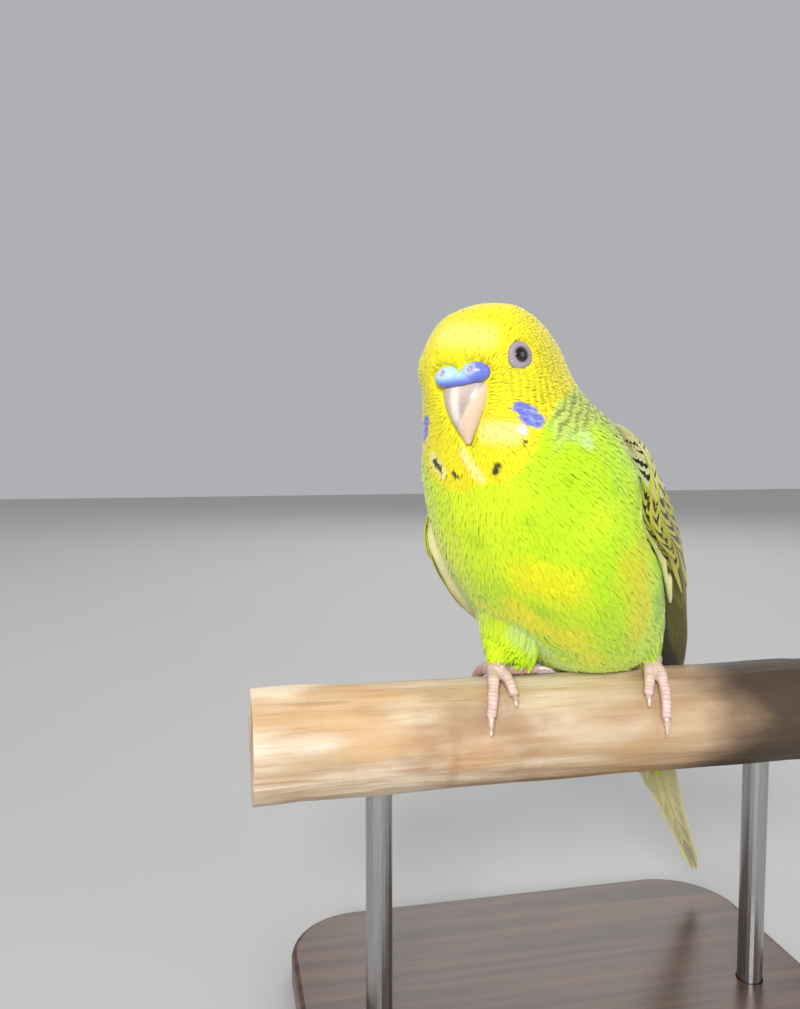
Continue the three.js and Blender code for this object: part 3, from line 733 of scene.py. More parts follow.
def surface_samples(skin, count):
    """Random points spread evenly over a piece, with their normals."""
    mesh = skin.data
    mesh.calc_loop_triangles()
    corners = np.empty(len(mesh.loop_triangles) * 3, np.int32)
    mesh.loop_triangles.foreach_get("vertices", corners)
    triangles = point_values(skin)[corners.reshape(-1, 3)]
    cross = np.cross(triangles[:, 1] - triangles[:, 0], triangles[:, 2] - triangles[:, 0])
    area = np.linalg.norm(cross, axis=1)
    which = random.choice(len(area), count, p=area / area.sum())
    a, b = np.sqrt(random.random(count)), random.random(count)
    weights = np.stack([1 - a, a * (1 - b), a * b], 1)
    return np.einsum("ij,ijk->ik", weights, triangles[which]), unit(cross[which])


def thinned(points, spacing):
    """Which points to keep so that none is nearer to another than its own spacing."""
    tree = KDTree(len(points))
    for i, point in enumerate(points):
        tree.insert(point, i)
    tree.balance()
    alive = np.ones(len(points), bool)
    kept = []
    for i, point in enumerate(points):
        if alive[i]:
            kept.append(i)
            for _, j, _ in tree.find_range(point, spacing[i]):
                alive[j] = False
    return np.array(kept)


def near_legs(points):
    """How near points are to the lower end of a thigh, from 0 to 1, and the way down to the foot."""
    knees, soles = (own((np.array([foot[end] for foot in FEET.values()]) + AXIS) * MM) for end in ("knee", "sole"))
    distances = np.linalg.norm(points[:, None] - knees[None], axis=2)
    leg = distances.argmin(axis=1)
    ends = soles[leg] + (points - knees[leg]) * 0.45
    return smooth(12, 5.5, distances.min(axis=1)), unit(ends - points)


def lie_of_coat(points):
    """Which way the feathers lie: away from the bill on the head, then down along the body."""
    down = unit(np.array([0, -0.62, -0.78])) + np.outer(points[:, 0] * 0.006, [1, 0, 0])
    share = smooth(12, 34, distance(points, FACE_MIDDLE))[:, None]
    return unit(unit(points - FACE_MIDDLE) * (1 - share) + down * share)


def ways_at(places, ways):
    """Ways of the bird's own frame in the part's frame."""
    return placed(places + ways) - placed(places)


def without(ways, other):
    """Ways with what they have of another way, of length one, taken off."""
    return ways - other * np.sum(ways * other, 1, keepdims=True)


def coat_roots(skin):
    """Where small feathers are rooted: points, normals, places, distances from face and eye, and lie."""
    roots, normals = surface_samples(skin, COAT_TRIES)
    places = own(roots)
    from_face = distance(places, FACE_MIDDLE)
    from_eye = np.minimum(*(distance(places, (side * EYE_AT[0], *EYE_AT[1:])) for side in (1, -1)))
    spacing = np.interp(from_face, *COAT_SPACING) * np.interp(from_eye, *EYE_SPACING)
    kept = thinned(roots, spacing * MM)
    roots, normals, places, from_face, from_eye = (
        each[kept] for each in (roots, normals, places, from_face, from_eye)
    )

    # No feather grows under the bill, the cere, the lids or the wings, or in the crease of the cere.
    hard = solid_tree(*HARD, *EYES)
    clear = np.ones(len(roots), bool)
    for i in np.flatnonzero(from_face < 16):
        found, normal, _, _ = hard.find_nearest(Vector(roots[i]))
        clear[i] = (Vector(roots[i]) - found) @ normal > 0.2 * MM
    clear &= ~((np.abs(places[:, 0]) < 5.4) & (places[:, 1] > 37.2) & (np.abs(places[:, 2] - 65.0) < 1.6))
    wings = solid_tree("wing_left", "wing_right")
    lie = unit(without(ways_at(places, lie_of_coat(places)), normals))

    def covered(points):
        hits = [wings.ray_cast(Vector(p), Vector(n), 7 * MM)[0] is not None for p, n in zip(points, normals)]
        return np.array(hits)

    under = covered(roots) & covered(roots + lie * 6 * MM) & covered(roots - lie * 3 * MM)

    # None stands out from the end of the skin, which lies inside the tail's coverts.
    tail_root, tail_way = tail_line()
    along_tail = (roots - tail_root) @ tail_way
    from_tail = np.linalg.norm(roots - tail_root - np.outer(along_tail, tail_way), axis=1)
    astray = (along_tail > 3 * MM) & (from_tail < 9 * MM) & (lie @ tail_way < 0.82)
    keep = clear & ~under & ~astray & (from_eye > EYE_CLEAR - 0.8 * near(places, *FAR_BROW))
    return (each[keep] for each in (roots, normals, places, from_face, from_eye, lie))


def coat(skin):
    """Small feathers over the whole skin, each a thin closed leaf rooted in it."""
    roots, normals, places, from_face, from_eye, lie = coat_roots(skin)
    count = len(roots)
    far_brow = near(places, *FAR_BROW)
    near_eye = np.interp(from_eye, *EYE_LEAVES)
    length = np.interp(from_face, *LEAF_LENGTH) * near_eye
    width = np.interp(from_face, *LEAF_WIDTH) * near_eye
    loose = near(places, *LOOSE_VENT) * smooth(22, 12, places[:, 2])
    length *= 1 + 0.35 * loose
    free, to_foot = near_legs(places)
    length += (LEG_LEAF - length) * free
    length *= random.uniform(0.85, 1.15, count)
    tips = mirrored(own(roots + lie * length[:, None] * MM))
    crossing = (distance(tips, EYE_AT) < 2.7) & (far_brow < 0.3)
    length = np.where(crossing, np.clip(from_eye - 2.55, 0.35, 1.2), length)
    width *= random.uniform(0.85, 1.15, count)
    turn = np.radians(random.normal(0, 5 + 8 * loose, count))[:, None]
    lie = lie * np.cos(turn) + np.cross(normals, lie) * np.sin(turn)
    depth = coat_depth(places) * random.uniform(0.82, 1.08, count) * (1 + 0.3 * loose)
    depth *= (1 - 0.4 * free) * (1 + 0.9 * far_brow)

    # Above the feet the leaves leave the skin and run towards the foot. The others keep to the skin.
    held = np.flatnonzero((free < 0.5) & ((places - TAIL_START) @ TAIL_WAY < 14))
    free = free[:, None]
    to_foot = unit(ways_at(places, to_foot))
    away = unit(without(normals, to_foot) + 0.02)
    way = unit(lie * (1 - free) + to_foot * free)
    middle, up = roots.copy(), unit(normals * (1 - free * 0.9) + away * (free * 0.9))
    rings = np.empty((count, 4, 4, 3))
    ring_normals = np.empty((count, 4, 4, 3))
    skin_tree = BVHTree.FromObject(skin, bpy.context.evaluated_depsgraph_get())
    for k, (station, wide, lift) in enumerate(LEAF):
        if k:
            middle = middle + way * ((station - LEAF[k - 1, 0]) * length * MM)[:, None]
            for i in held:
                found, normal, _, _ = skin_tree.find_nearest(Vector(middle[i]))
                middle[i] = found
                up[i] = up[i] * 0.5 + np.array(normal) * 0.5
            up = unit(up)
            way = unit(without(way, up))
        centre = middle + up * (depth * lift * MM)[:, None]
        sideways = np.cross(up, way)
        half = (width * wide * 0.5 * MM)[:, None]
        ridge, keel = 0.04 * MM * wide + half * 0.1, half * 0.08 + 0.03 * MM
        edges = (-sideways * half, up * ridge, sideways * half, -up * keel)
        rings[:, k] = np.stack([centre + edge for edge in edges], 1)
        ring_normals[:, k] = np.stack([unit(up - sideways * 0.22), up, unit(up + sideways * 0.22), -up], 1)

    # Each ring takes the colour of its own place, a little varied from feather to feather. Each feather is darker
    # towards its root, painted shade where it lies under its neighbours' tips.
    ridges = own(rings[:, :, 1].reshape(-1, 3))
    colours = plumage(ridges).reshape(count, 4, 3)
    colours = 0.5 * colours + 0.5 * colours[:, 2:3]
    colours = blended(colours, BAR_COLOUR, bars(ridges).reshape(count, 4))
    # The ring factors paint shade at the root and a little light at the tip.
    colours *= random.normal(1, 0.03, (count, 1, 1)) * np.array([0.82, 0.97, 1.0, 1.02])[None, :, None]
    coat_pieces(places, rings, ring_normals, np.repeat(np.clip(colours, 0, 1)[:, :, None], 4, axis=2))


def coat_pieces(places, rings, ring_normals, colours):
    """The leaves as a few pieces, cut from the crown down to the vent."""
    ring = np.arange(4)
    side = np.stack([ring, (ring + 1) % 4, (ring + 1) % 4 + 4, ring + 4], 1)
    quads = np.concatenate([side, side + 4, side + 8, [[3, 2, 1, 0]], [[12, 13, 14, 15]]])[:, ::-1]
    vane_uv = np.stack(np.meshgrid([0, 0.5, 1, 0.5], LEAF[:, 0], indexing="xy"), -1).reshape(16, 2)
    order = np.argsort(-(places[:, 2] * 0.79 + places[:, 1] * 0.61), kind="stable")
    for (name, slot), start in zip(COAT_PIECES, range(0, len(order), COAT_PIECE)):
        chosen = order[start:start + COAT_PIECE]
        n = len(chosen)
        faces = (quads[None] + 16 * np.arange(n)[:, None, None]).reshape(-1, 4)
        side, forward, up = places[chosen].T
        round_body = 0.5 + np.arctan2(side, forward - 8 + up * 0.2) / (2 * np.pi)
        spot = np.stack([round_body, np.clip((up + 40) / 130, 0.01, 0.98)], 1)
        bake = (spot[:, None] * 0.99 + vane_uv[None] * 0.003).reshape(-1, 2)
        piece = mesh_piece(f"coat_{name}", rings[chosen].reshape(-1, 3), faces, np.tile(vane_uv, (n, 1)), bake)
        paint_points(piece, colours[chosen].reshape(-1, 3))
        piece.data.normals_split_custom_set_from_vertices(ring_normals[chosen].reshape(-1, 3))
        finish(piece, feather_material(f"coat_{name}_feathers", 9, 0.1, 0.25), slot)


# Flight, covert and tail feathers, each a grid of points along and across its vane.
ROWS = 13
COLUMNS = 9
ALONG = np.linspace(0, 1, ROWS)
VANE_ALONG, VANE_ACROSS = np.meshgrid(ALONG, np.linspace(-1, 1, COLUMNS), indexing="ij")

# Outlines of a feather: where its end begins to close, least width, how much it narrows and from where.
OUTLINES = {
    "tapered": (0.9, 0.02, 0.26, 0.3),
    "pointed": (0.9, 0.02, 0.55, 0.45),
    "round": (0.62, 0.01, 0.0, 0.5),
    "blunt": (0.8, 0.01, 0.0, 0.5),
}
RUMP_GREEN = plumage(np.array([[0.0, -20.0, 16.0]]))[0]
# Looks of a feather: border, colour of the centre, and the centre's place along it, length and width.
LOOKS = {
    "covert": (WING_PALE, WING_BLACK, (0.83, 0.04, 0.8)),
    "barred": (WING_PALE, WING_BLACK, (0.84, 0.05, 0.9)),
    "secondary": (WING_PALE * 0.94, WING_OLIVE * 0.62, (0.5, 0.34, 0.55)),
    "primary": (WING_GREY, WING_GREY * 0.6, (0.5, 0.34, 0.34)),
    "leading": (WING_CREAM, WING_CREAM, (0.5, 0.4, 0.5)),
    "olive": (WING_OLIVE, WING_OLIVE * 0.7, (0.5, 0.34, 0.5)),
    "grey": (WING_GREY, WING_GREY * 0.7, (0.5, 0.4, 0.5)),
    "tail": (TAIL_PALE, TAIL_GREY, (0.55, 0.6, 0.6)),
    "rump": (RUMP_GREEN, RUMP_GREEN, (0.5, 0.4, 0.5)),
}


def outline(kind):
    """Half width along a feather, as a share of its widest."""
    start, least, narrowing, narrow_from = OUTLINES[kind]
    closing = smooth(start, 1.02, ALONG) if kind == "pointed" else np.clip(ALONG - start, 0, 1) / (1 - start)
    grown = (0.6 + 0.4 * smooth(0, 0.35, ALONG)) * (1 - narrowing * smooth(narrow_from, 0.97, ALONG))
    return grown * np.sqrt(np.clip(1 - closing**2, least, 1))


def shading(look, share=0.0):
    """Border colours over a vane, the colour of its centre, and that centre's place, length and width."""
    border, centre, (place, length, width) = LOOKS[look]
    colour = np.tile(border, (ROWS, COLUMNS, 1))
    if look == "covert":
        colour = blended(colour, WHITE * 0.8, 0.2 + 0.45 * share)
    elif look == "barred":
        colour = blended(colour, LIME * 0.8, smooth(0.6, 0.2, VANE_ALONG) * 0.5)
    elif look == "secondary":
        colour = blended(colour, WING_OLIVE, smooth(0.75, 0.3, VANE_ALONG))
    elif look == "primary":
        colour = blended(colour, WING_CREAM * 0.7, smooth(-0.8, -0.95, VANE_ACROSS))
    elif look == "tail":
        centre = between(TAIL_PALE, TAIL_GREY, share)
    if look in ("covert", "barred"):
        length += 0.02 * share
    shaft = 1 - 0.25 * np.exp(-(VANE_ACROSS / 0.07) ** 2) * (1 - VANE_ALONG * 0.5)
    return colour * shaft[..., None], centre, (place, length, width)


def vane(point_at, half, kind, top, thick, tilt=0.14, arch=0.16):
    """Upper and lower face of a feather, with a raised shaft and slightly waved edges."""
    v, u = VANE_ALONG, VANE_ACROSS
    wave = 1 + 0.03 * np.sin(v * random.uniform(14, 24) + random.uniform(0, 6)) * np.abs(u)
    offset = half * outline(kind)[:, None] * u * wave
    lifted = top[0] + (top[1] - top[0]) * v - tilt * u - arch * u * u
    lifted = lifted + 0.1 * np.exp(-(u / 0.09) ** 2) * (1 - 0.6 * v)
    lifted = lifted + 0.03 * np.sin(v * 9 + random.uniform(0, 6))
    lower = lifted - thick * (1 - 0.45 * v) * (1 - 0.35 * np.abs(u))
    return point_at(v, offset, lifted), point_at(v, offset, lower)


def closed_sheet(rows, columns):
    """Four-sided faces that join an upper and a lower grid of points to one closed sheet."""
    grid = np.arange(rows * columns).reshape(rows, columns)
    upper = np.stack([grid[:-1, :-1], grid[:-1, 1:], grid[1:, 1:], grid[1:, :-1]], -1).reshape(-1, 4)
    rim = np.concatenate([grid[0, :-1], grid[:-1, -1], grid[-1, :0:-1], grid[:0:-1, 0]])
    turn = np.roll(rim, -1)
    edge = np.stack([turn, rim, rim + grid.size, turn + grid.size], 1)
    return np.concatenate([upper, upper[:, ::-1] + grid.size, edge])


def sheet_points(top, under):
    return np.concatenate([top.reshape(-1, 3), under.reshape(-1, 3)])


def feather_piece(name, vanes, colours, slot, replaced):
    """Joins vanes to one piece, each closed, with its own part of the baking map."""
    count, size = len(vanes), 2 * ROWS * COLUMNS
    points = placed(np.concatenate([sheet_points(*each) for each in vanes]))
    faces = (closed_sheet(ROWS, COLUMNS)[None] + size * np.arange(count)[:, None, None]).reshape(-1, 4)
    local = np.tile(np.stack([VANE_ACROSS * 0.5 + 0.5, VANE_ALONG], -1).reshape(-1, 2), (2, 1))
    wide = math.ceil(math.sqrt(count))
    shrunk = local * (0.4, 0.88)
    shrunk[size // 2:, 0] += 0.46
    bake = [(np.array([i % wide, i // wide]) + 0.06 + shrunk) / wide for i in range(count)]
    piece = mesh_piece(name, points, faces, np.tile(local, (count, 1)), np.concatenate(bake))
    borders = [np.tile(border.reshape(-1, 3), (2, 1)) * random.normal(1, 0.04) for border, _, _ in colours]
    paint_points(piece, np.concatenate(borders).clip(0, 1))
    paint_points(piece, np.concatenate([np.tile(centre, (size, 1)) for _, centre, _ in colours]), "centre")
    paint_points(piece, np.concatenate([np.tile(place, (size, 1)) for _, _, place in colours]), "place")
    face_outward(piece)
    bpy.ops.object.shade_smooth_by_angle(angle=math.radians(50))
    finish(piece, feather_material(f"{name}_vanes", 40, 0.14, 0.5, 0.5, 0.15, True), slot, replaced)


def face_outward(piece):
    activate(piece)
    bpy.ops.object.mode_set(mode="EDIT")
    bpy.ops.mesh.select_all(action="SELECT")
    bpy.ops.mesh.normals_make_consistent(inside=False)
    bpy.ops.object.mode_set(mode="OBJECT")


# Tiers of a wing: count, half width, outline, look, thickness, top at root and tip, step from feather to
# feather, then roots and tips as (place, across) for the first and the last feather.
WING_TIERS = [
    (8, 2.5, "pointed", "primary", 0.55, (1.0, 0.7), 0.13, ((0.36, 0.1), (0.36, 0.6)), ((1.0, 0.45), (0.76, 0.82))),
    (7, 2.9, "blunt", "secondary", 0.7, (1.4, 1.9), 0.08, ((0.28, 0.36), (0.28, 0.84)), ((0.72, 0.48), (0.6, 0.88))),
    (3, 3.2, "round", "barred", 0.8, (1.9, 2.6), 0.12, ((0.26, 0.82), (0.24, 0.95)), ((0.58, 0.84), (0.5, 0.95))),
]
# Rows of coverts, from the greater ones up to the wrist: count, half width, look, roots and tips.
COVERT_ROWS = [
    (9, 2.7, "secondary", ((0.24, 0.06), (0.2, 0.93)), ((0.49, 0.07), (0.4, 0.94))),
    (10, 2.4, "barred", ((0.18, 0.05), (0.16, 0.93)), ((0.385, 0.05), (0.325, 0.94))),
    (10, 2.3, "barred", ((0.13, 0.04), (0.11, 0.93)), ((0.3, 0.03), (0.255, 0.94))),
    (10, 2.1, "covert", ((0.08, 0.06), (0.07, 0.92)), ((0.23, 0.03), (0.195, 0.93))),
    (10, 1.9, "covert", ((0.04, 0.1), (0.03, 0.9)), ((0.165, 0.05), (0.14, 0.92))),
    (9, 1.7, "covert", ((0.005, 0.12), (0.0, 0.86)), ((0.1, 0.08), (0.08, 0.9))),
]
# Rows along the front edge of a wing: look, count, half width, outline, roots and tips of the first and
# the last feather along the wing, and how far up the edge, from the body (0) to the outer face (1).
EDGE_ROWS = [
    ("grey", 4, 1.5, "pointed", (0.5, 0.56), (0.84, 0.94), (0.2, 0.9)),
    ("olive", 4, 1.6, "pointed", (0.34, 0.4), (0.66, 0.8), (0.4, 0.96)),
    ("olive", 4, 1.5, "round", (0.3, 0.32), (0.46, 0.52), (0.55, 0.9)),
    ("barred", 4, 1.3, "round", (0.24, 0.25), (0.37, 0.41), (0.6, 0.88)),
    ("barred", 4, 1.3, "round", (0.18, 0.19), (0.31, 0.35), (0.56, 0.86)),
    ("barred", 4, 1.3, "round", (0.12, 0.14), (0.25, 0.29), (0.5, 0.84)),
    ("covert", 4, 1.4, "round", (0.06, 0.07), (0.17, 0.2), (0.3, 0.8)),
    ("covert", 4, 1.3, "round", (0.02, 0.03), (0.1, 0.13), (0.3, 0.76)),
    ("leading", 3, 1.3, "pointed", (0.19, 0.29), (0.38, 0.5), (0.26, 0.4)),
]


def wing_breadth(side, place):
    """Breadth of a wing across its whole step, in millimetres."""
    low, high = (on_wing(side, place, 0 * place + across, 0 * place) for across in (0.1, 0.9))
    return np.linalg.norm(low - high, axis=-1) / 0.8


def flat(place):
    return 0 * place


def emerging(place):
    """Height of the coverts over the body: they come out of the plumage at the shoulder."""
    arm = through(WING_ARM, place / WING_ARM_END)
    return arm * smooth(-0.02, 0.12, place) - 0.6 * smooth(0.06, 0.0, place)


def wing_feathers(side, roots, tips, count, half, kind, thick, top, step, above):
    """A row of feathers over a wing, from its first root and tip to its last."""
    made = []
    for i in range(count):
        root, tip = (between(*ends, i / (count - 1)) for ends in (roots, tips))
        root = root + random.normal(0, 0.004, 2)
        tip = tip + random.normal(0, 0.006, 2)

        def point_at(v, offset, height, root=root, tip=tip):
            place, across = (between(root[k], tip[k], v) for k in (0, 1))
            return on_wing(side, place, across + offset / wing_breadth(side, place), above(place) + height)

        lifted = (top[0] + i * step * 0.5, top[1] + i * step)
        made.append(vane(point_at, half, kind, lifted, thick))
    return made


def edge_feathers(side):
    """Feathers that wrap the front edge of a wing and close it against the body, pale on the far wing."""
    vanes, colours = [], []
    for look, count, half, kind, *rows in EDGE_ROWS:
        leading = look == "leading"
        for i in range(count):
            root, tip, rise = (between(*ends, i / (count - 1)) for ends in rows)

            def point_at(v, offset, height, root=root, tip=tip, rise=rise):
                place = between(root, tip, v)
                inner, outer = -through(WING_INNER, place) - 0.4, emerging(place) + 0.5
                up = rise + offset / (outer - inner)
                bulge = np.sin(np.pi * np.clip(up, 0.0, 1.0)) - 0.9 * np.clip(up - 1, 0, 1) * 4
                across = 0.035 - (height + bulge) / wing_breadth(side, place)
                return on_wing(side, place, across, inner + (outer - inner) * np.minimum(up, 1.06))

            top = (-0.2, 0.75) if leading else (0.1, 0.35 + 0.06 * i)
            vanes.append(vane(point_at, half, kind, top, 0.4, 0.0, 0.05))
            colours.append(shading("leading" if side < 0 else look, random.random()))
    return vanes, colours


def build_wing(side, word):
    vanes, colours = [], []
    for count, half, kind, look, thick, top, step, roots, tips in WING_TIERS:
        vanes += wing_feathers(side, roots, tips, count, half, kind, thick, top, step, flat)
        colours += [shading(look, i / count) for i in range(count)]
    for count, half, look, roots, tips in COVERT_ROWS:
        vanes += wing_feathers(side, roots, tips, count, half, "round", 0.5, (-0.1, 0.5), 0.0, emerging)
        colours += [shading(look, random.random()) for _ in range(count)]
    edge_vanes, edge_colours = edge_feathers(side)
    vanes, colours = vanes + edge_vanes, colours + edge_colours
    feather_piece(f"wing_{word}_feathers", vanes, colours, "plumage_wing", f"wing_{word}")

    # The closed form that holds the feathers, from the shoulder to the end of the arm.
    rows, columns = 25, 17
    part, across = np.meshgrid(np.linspace(0.1, 1, rows), np.linspace(0.06, 0.94, columns), indexing="ij")
    place = part * WING_ARM_END
    top = on_wing(side, place, across, emerging(place) * 0.95 - 0.15)
    points = placed(sheet_points(top, on_wing(side, place, across, flat(place))))
    arm = mesh_piece(f"wing_{word}_arm", points, closed_sheet(rows, columns))
    face_outward(arm)
    paint_points(arm, np.tile(WING_PALE * 0.7, (len(points), 1)))
    finish(arm, marked_material(f"wing_{word}_arm_down", 0.8, 800, 0.3, 0.0001), "plumage_wing")


# Pairs of tail feathers as shares of the longest, and rows of tail coverts as reach and height.
TAIL_PAIRS = (1, 0.86, 0.75, 0.65, 0.56, 0.48)
TAIL_COVERTS = ((34, 1.5), (26, 1.9), (19, 2.2))


def build_tail():
    vanes, colours = [], []
    for pair, share in enumerate(TAIL_PAIRS):
        for side in (1, -1):
            def point_at(v, offset, height, share=share, side=side, pair=pair):
                centre = side * (1.1 - 0.55 * v + 0.66 * pair)
                return on_tail(v * share * TAIL_LENGTH, centre + side * offset, height)

            vanes.append(vane(point_at, 2.3, "tapered", (1.2 - 0.16 * pair, 0.5 - 0.26 * pair), 0.5))
            colours.append(shading("tail", 1 - pair / 6))
    for face in (1, -1):
        for reach, most in TAIL_COVERTS:
            for out in (-1, -0.5, 0, 0.5, 1):
                def point_at(v, offset, height, out=out, reach=reach, face=face):
                    centre = out * (4.4 - 2.2 * v)
                    lower = 0.5 * out * out
                    return on_tail(v * (reach - 12 * lower), centre + offset, face * (height - lower))

                vanes.append(vane(point_at, 2.2, "round", (most + 0.9, most * 0.6 + 0.2), 0.7))
                colours.append(shading("rump"))
    feather_piece("tail_feathers", vanes, colours, "plumage_tail", "tail")


# Colours of eye, cere, bill and feet.
EYE_BROWN = linear(30, 20, 18)
PUPIL_BLACK = linear(7, 6, 6)
LID_GREY = linear(158, 146, 154)
LID_DARK = linear(74, 66, 72)
CERE_BLUE = linear(104, 116, 214)
# Colour of the painted highlight on the cere.
CERE_PALE = linear(176, 222, 244)
NOSTRIL_RIM = linear(204, 206, 230)
NOSTRIL_MAUVE = linear(168, 150, 176)
BILL_HORN = linear(206, 188, 170)
BILL_GREY = linear(164, 150, 142)
BILL_TAN = linear(226, 196, 166)
BILL_TIP = linear(222, 184, 164)
# Colour of a painted highlight on the bill.
BILL_HIGHLIGHT = linear(246, 240, 228)
FOOT_PINK = linear(228, 200, 192)
# Colour of the painted shade on the feet.
FOOT_SHADE = linear(190, 152, 142)
LID_PLEATS = 26
LID_CORNER = math.radians(222)


def eye_line(side):
    """The way an eye looks out."""
    outward, upward = math.radians(EYE_OUTWARD), math.radians(EYE_UPWARD)
    level = math.cos(upward)
    return np.array([side * math.sin(outward) * level, math.cos(outward) * level, math.sin(upward)])


def build_eye(side, word):
    out = eye_line(side)
    middle = np.array([side * EYE_AT[0], *EYE_AT[1:]]) - out * (EYE_DEEP + 0.3)
    bpy.ops.object.select_all(action="DESELECT")
    bpy.ops.mesh.primitive_uv_sphere_add(
        segments=48, ring_count=32, radius=EYE_RADIUS * MM, location=placed(middle)
    )
    ball = bpy.context.object
    ball.name = f"eyeball_{word}"
    bpy.ops.object.transform_apply(location=True, rotation=True, scale=True)
    bpy.ops.object.shade_smooth()
    pupil = smooth(0.86, 0.9, unit(own(point_values(ball)) - middle) @ out)
    paint_points(ball, blended(EYE_BROWN, PUPIL_BLACK, pupil))
    wet = marked_material(f"eye_{word}_wet", 0.06, 4000, 0.02, 0.00002, 0.05, Coat_Weight=0.5, Coat_Roughness=0.03)
    finish(ball, wet, "eye", f"eye_{word}")

    bpy.ops.object.select_all(action="DESELECT")
    bpy.ops.mesh.primitive_torus_add(
        major_radius=LID_RING * MM, minor_radius=LID_TUBE * MM, major_segments=96, minor_segments=20
    )
    lids = bpy.context.object
    lids.name = f"lids_{word}"
    points = point_values(lids) / MM
    turn = np.arctan2(points[:, 1], points[:, 0])
    pleats = np.cos(turn * LID_PLEATS)
    ring = np.stack([np.cos(turn), np.sin(turn), 0 * turn], 1) * LID_RING
    points = ring + (points - ring) * (1 + 0.1 * pleats * smooth(0.0, 0.5, points[:, 2]))[:, None]
    from_corner = np.degrees(np.arccos(np.clip(np.cos(turn - LID_CORNER), -1, 1)))
    drawn = np.exp(-((from_corner / 34) ** 2)) * smooth(1.8, 2.45, np.linalg.norm(points[:, :2], axis=1))
    points[:, :2] *= (1 + 0.16 * drawn)[:, None]
    points[:, 2] *= 0.75
    forward = unit(np.array([0, 1, 0]) - out * out[1])
    above = np.array([0, 0, 1]) - out * out[2]
    above = unit(above - forward * (above @ forward))
    centre = middle + out * (EYE_DEEP - 0.25)
    move_points(lids, placed(centre - points[:, :1] * forward + points[:, 1:2] * above + points[:, 2:] * out))
    face_outward(lids)
    bpy.ops.object.shade_smooth()
    inner = smooth(1.9, 1.25, np.linalg.norm(points[:, :2], axis=1))
    # The lids are darker towards their inner edge, and painted shade darkens the grooves between the pleats.
    paint_points(lids, blended(LID_GREY, LID_DARK, inner) * (0.92 + 0.08 * pleats)[:, None])
    finish(lids, marked_material(f"lids_{word}_skin", 0.55, 2500, 0.4, 0.00006), "cere")


def build_cere():
    piece = copy_of("cere_skin", "cere")
    modify(piece, "REMESH", mode="VOXEL", voxel_size=0.2 * MM)
    modify(piece, "SMOOTH", factor=0.6, iterations=5)
    shade_smooth(piece)
    points = own(point_values(piece))
    # Painted highlight: the cere is paler on top, most on the bird's right, where the light falls.
    on_top = smooth(65.4, 67.4, points[:, 2] + 0.25 * ripple(points, 0.8))
    colours = blended(CERE_BLUE, CERE_PALE, on_top * smooth(6.6, 2.6, np.abs(points[:, 0] + 1.6)))
    for side in (1, -1):
        hole = distance(points, (side * NOSTRIL_AT[0], *NOSTRIL_AT[1:]))
        colours = blended(colours, NOSTRIL_RIM, smooth(1.6, 0.8, hole) * 0.6)
        colours = blended(colours, NOSTRIL_MAUVE, smooth(0.9, 0.4, hole))
    paint_points(piece, colours)
    wax = marked_material("cere_wax", 0.34, 1600, 0.35, 0.00008, 0.08, Coat_Weight=0.25, Coat_Roughness=0.25)
    finish(piece, wax, "cere", "cere")


def build_bill():
    for name, node in (("upper_bill", "bill_upper"), ("lower_bill", "bill_lower")):
        piece = copy_of(name, node)
        modify(piece, "SUBSURF", levels=3, render_levels=3)
        shade_smooth(piece)
        points = own(point_values(piece))
        side, _, up = points.T
        facet = side - 0.5 - (up - 59) * 0.72
        # Painted highlight: a pale stripe down the front of the bill, a little to the bird's right.
        painted_highlight = smooth(1.7, 0.2, np.abs(side + 0.9)) * smooth(56, 59, up)
        colours = blended(BILL_HORN, BILL_GREY, smooth(-3.4, -0.6, facet) * smooth(0.5, -0.1, facet) * 0.7)
        colours = blended(colours, BILL_TAN, smooth(-0.1, 0.6, facet) * 0.8)
        colours = blended(colours, BILL_TIP, smooth(57, 53, up) * 0.5)
        colours = blended(colours, BILL_HIGHLIGHT, painted_highlight * 0.75)
        ridges = 0.5 + 0.5 * np.sin(up * 5 + side * 0.8)
        paint_points(piece, colours * (0.95 + 0.05 * ridges)[:, None])
        horn = marked_material(f"{name}_horn", 0.38, 700, 0.2, 0.00008, 0.07, Coat_Weight=0.2, Coat_Roughness=0.22)
        finish(piece, horn, "bill_horn", node)


# Feet, in the branch's frame: (distance along the branch, degrees round it from top to front).
FEET = {
    "right": {
        "sole": (-20.2, -0.6, 14.2), "knee": (-18.6, -1.0, 23.0),
        "toes": [
            ((-17.6, -3), (-10.8, -5), (-6.6, 4)), ((-19.0, 4), (-18.4, 34), (-18.6, 52)),
            ((-21.0, 4), (-24.6, 54), (-25.1, 77)), ((-21.2, -8), (-21.8, -50), (-22.0, -76)),
        ],
    },
    "left": {
        "sole": (18.6, -0.2, 14.2), "knee": (18.4, 1.5, 22.0),
        "toes": [
            ((16.2, -2), (11.8, 3), (8.4, 9)), ((17.0, 5), (12.9, 42), (12.2, 60)),
            ((18.6, 5), (15.6, 66), (15.7, 90)), ((20.6, -6), (24.6, -40), (25.6, -66)),
        ],
    },
}
AXIS = np.array([0, BRANCH_BACK, BRANCH_HEIGHT])


def over_branch(along, degrees, height):
    radius = BRANCH_RADIUS + GAP + height
    return np.array([along, -radius * math.sin(math.radians(degrees)), radius * math.cos(math.radians(degrees))])


def limb(name, path, radii):
    """A smooth round limb along a path, from a curve with its own radius at each point."""
    bpy.ops.object.select_all(action="DESELECT")
    bpy.ops.curve.primitive_nurbs_path_add()
    line = bpy.context.object
    line.name = name
    curve = line.data
    curve.splines.clear()
    spline = curve.splines.new("NURBS")
    spline.points.add(len(path) - 1)
    for point, place, radius in zip(spline.points, path, radii):
        point.co = (*((place + AXIS) * MM), 1)
        point.radius = radius
    spline.order_u = 3
    spline.use_endpoint_u = True
    curve.resolution_u = 6
    curve.bevel_depth = MM
    curve.bevel_resolution = 5
    curve.use_fill_caps = True
    bpy.ops.object.convert(target="MESH")
    return bpy.context.object


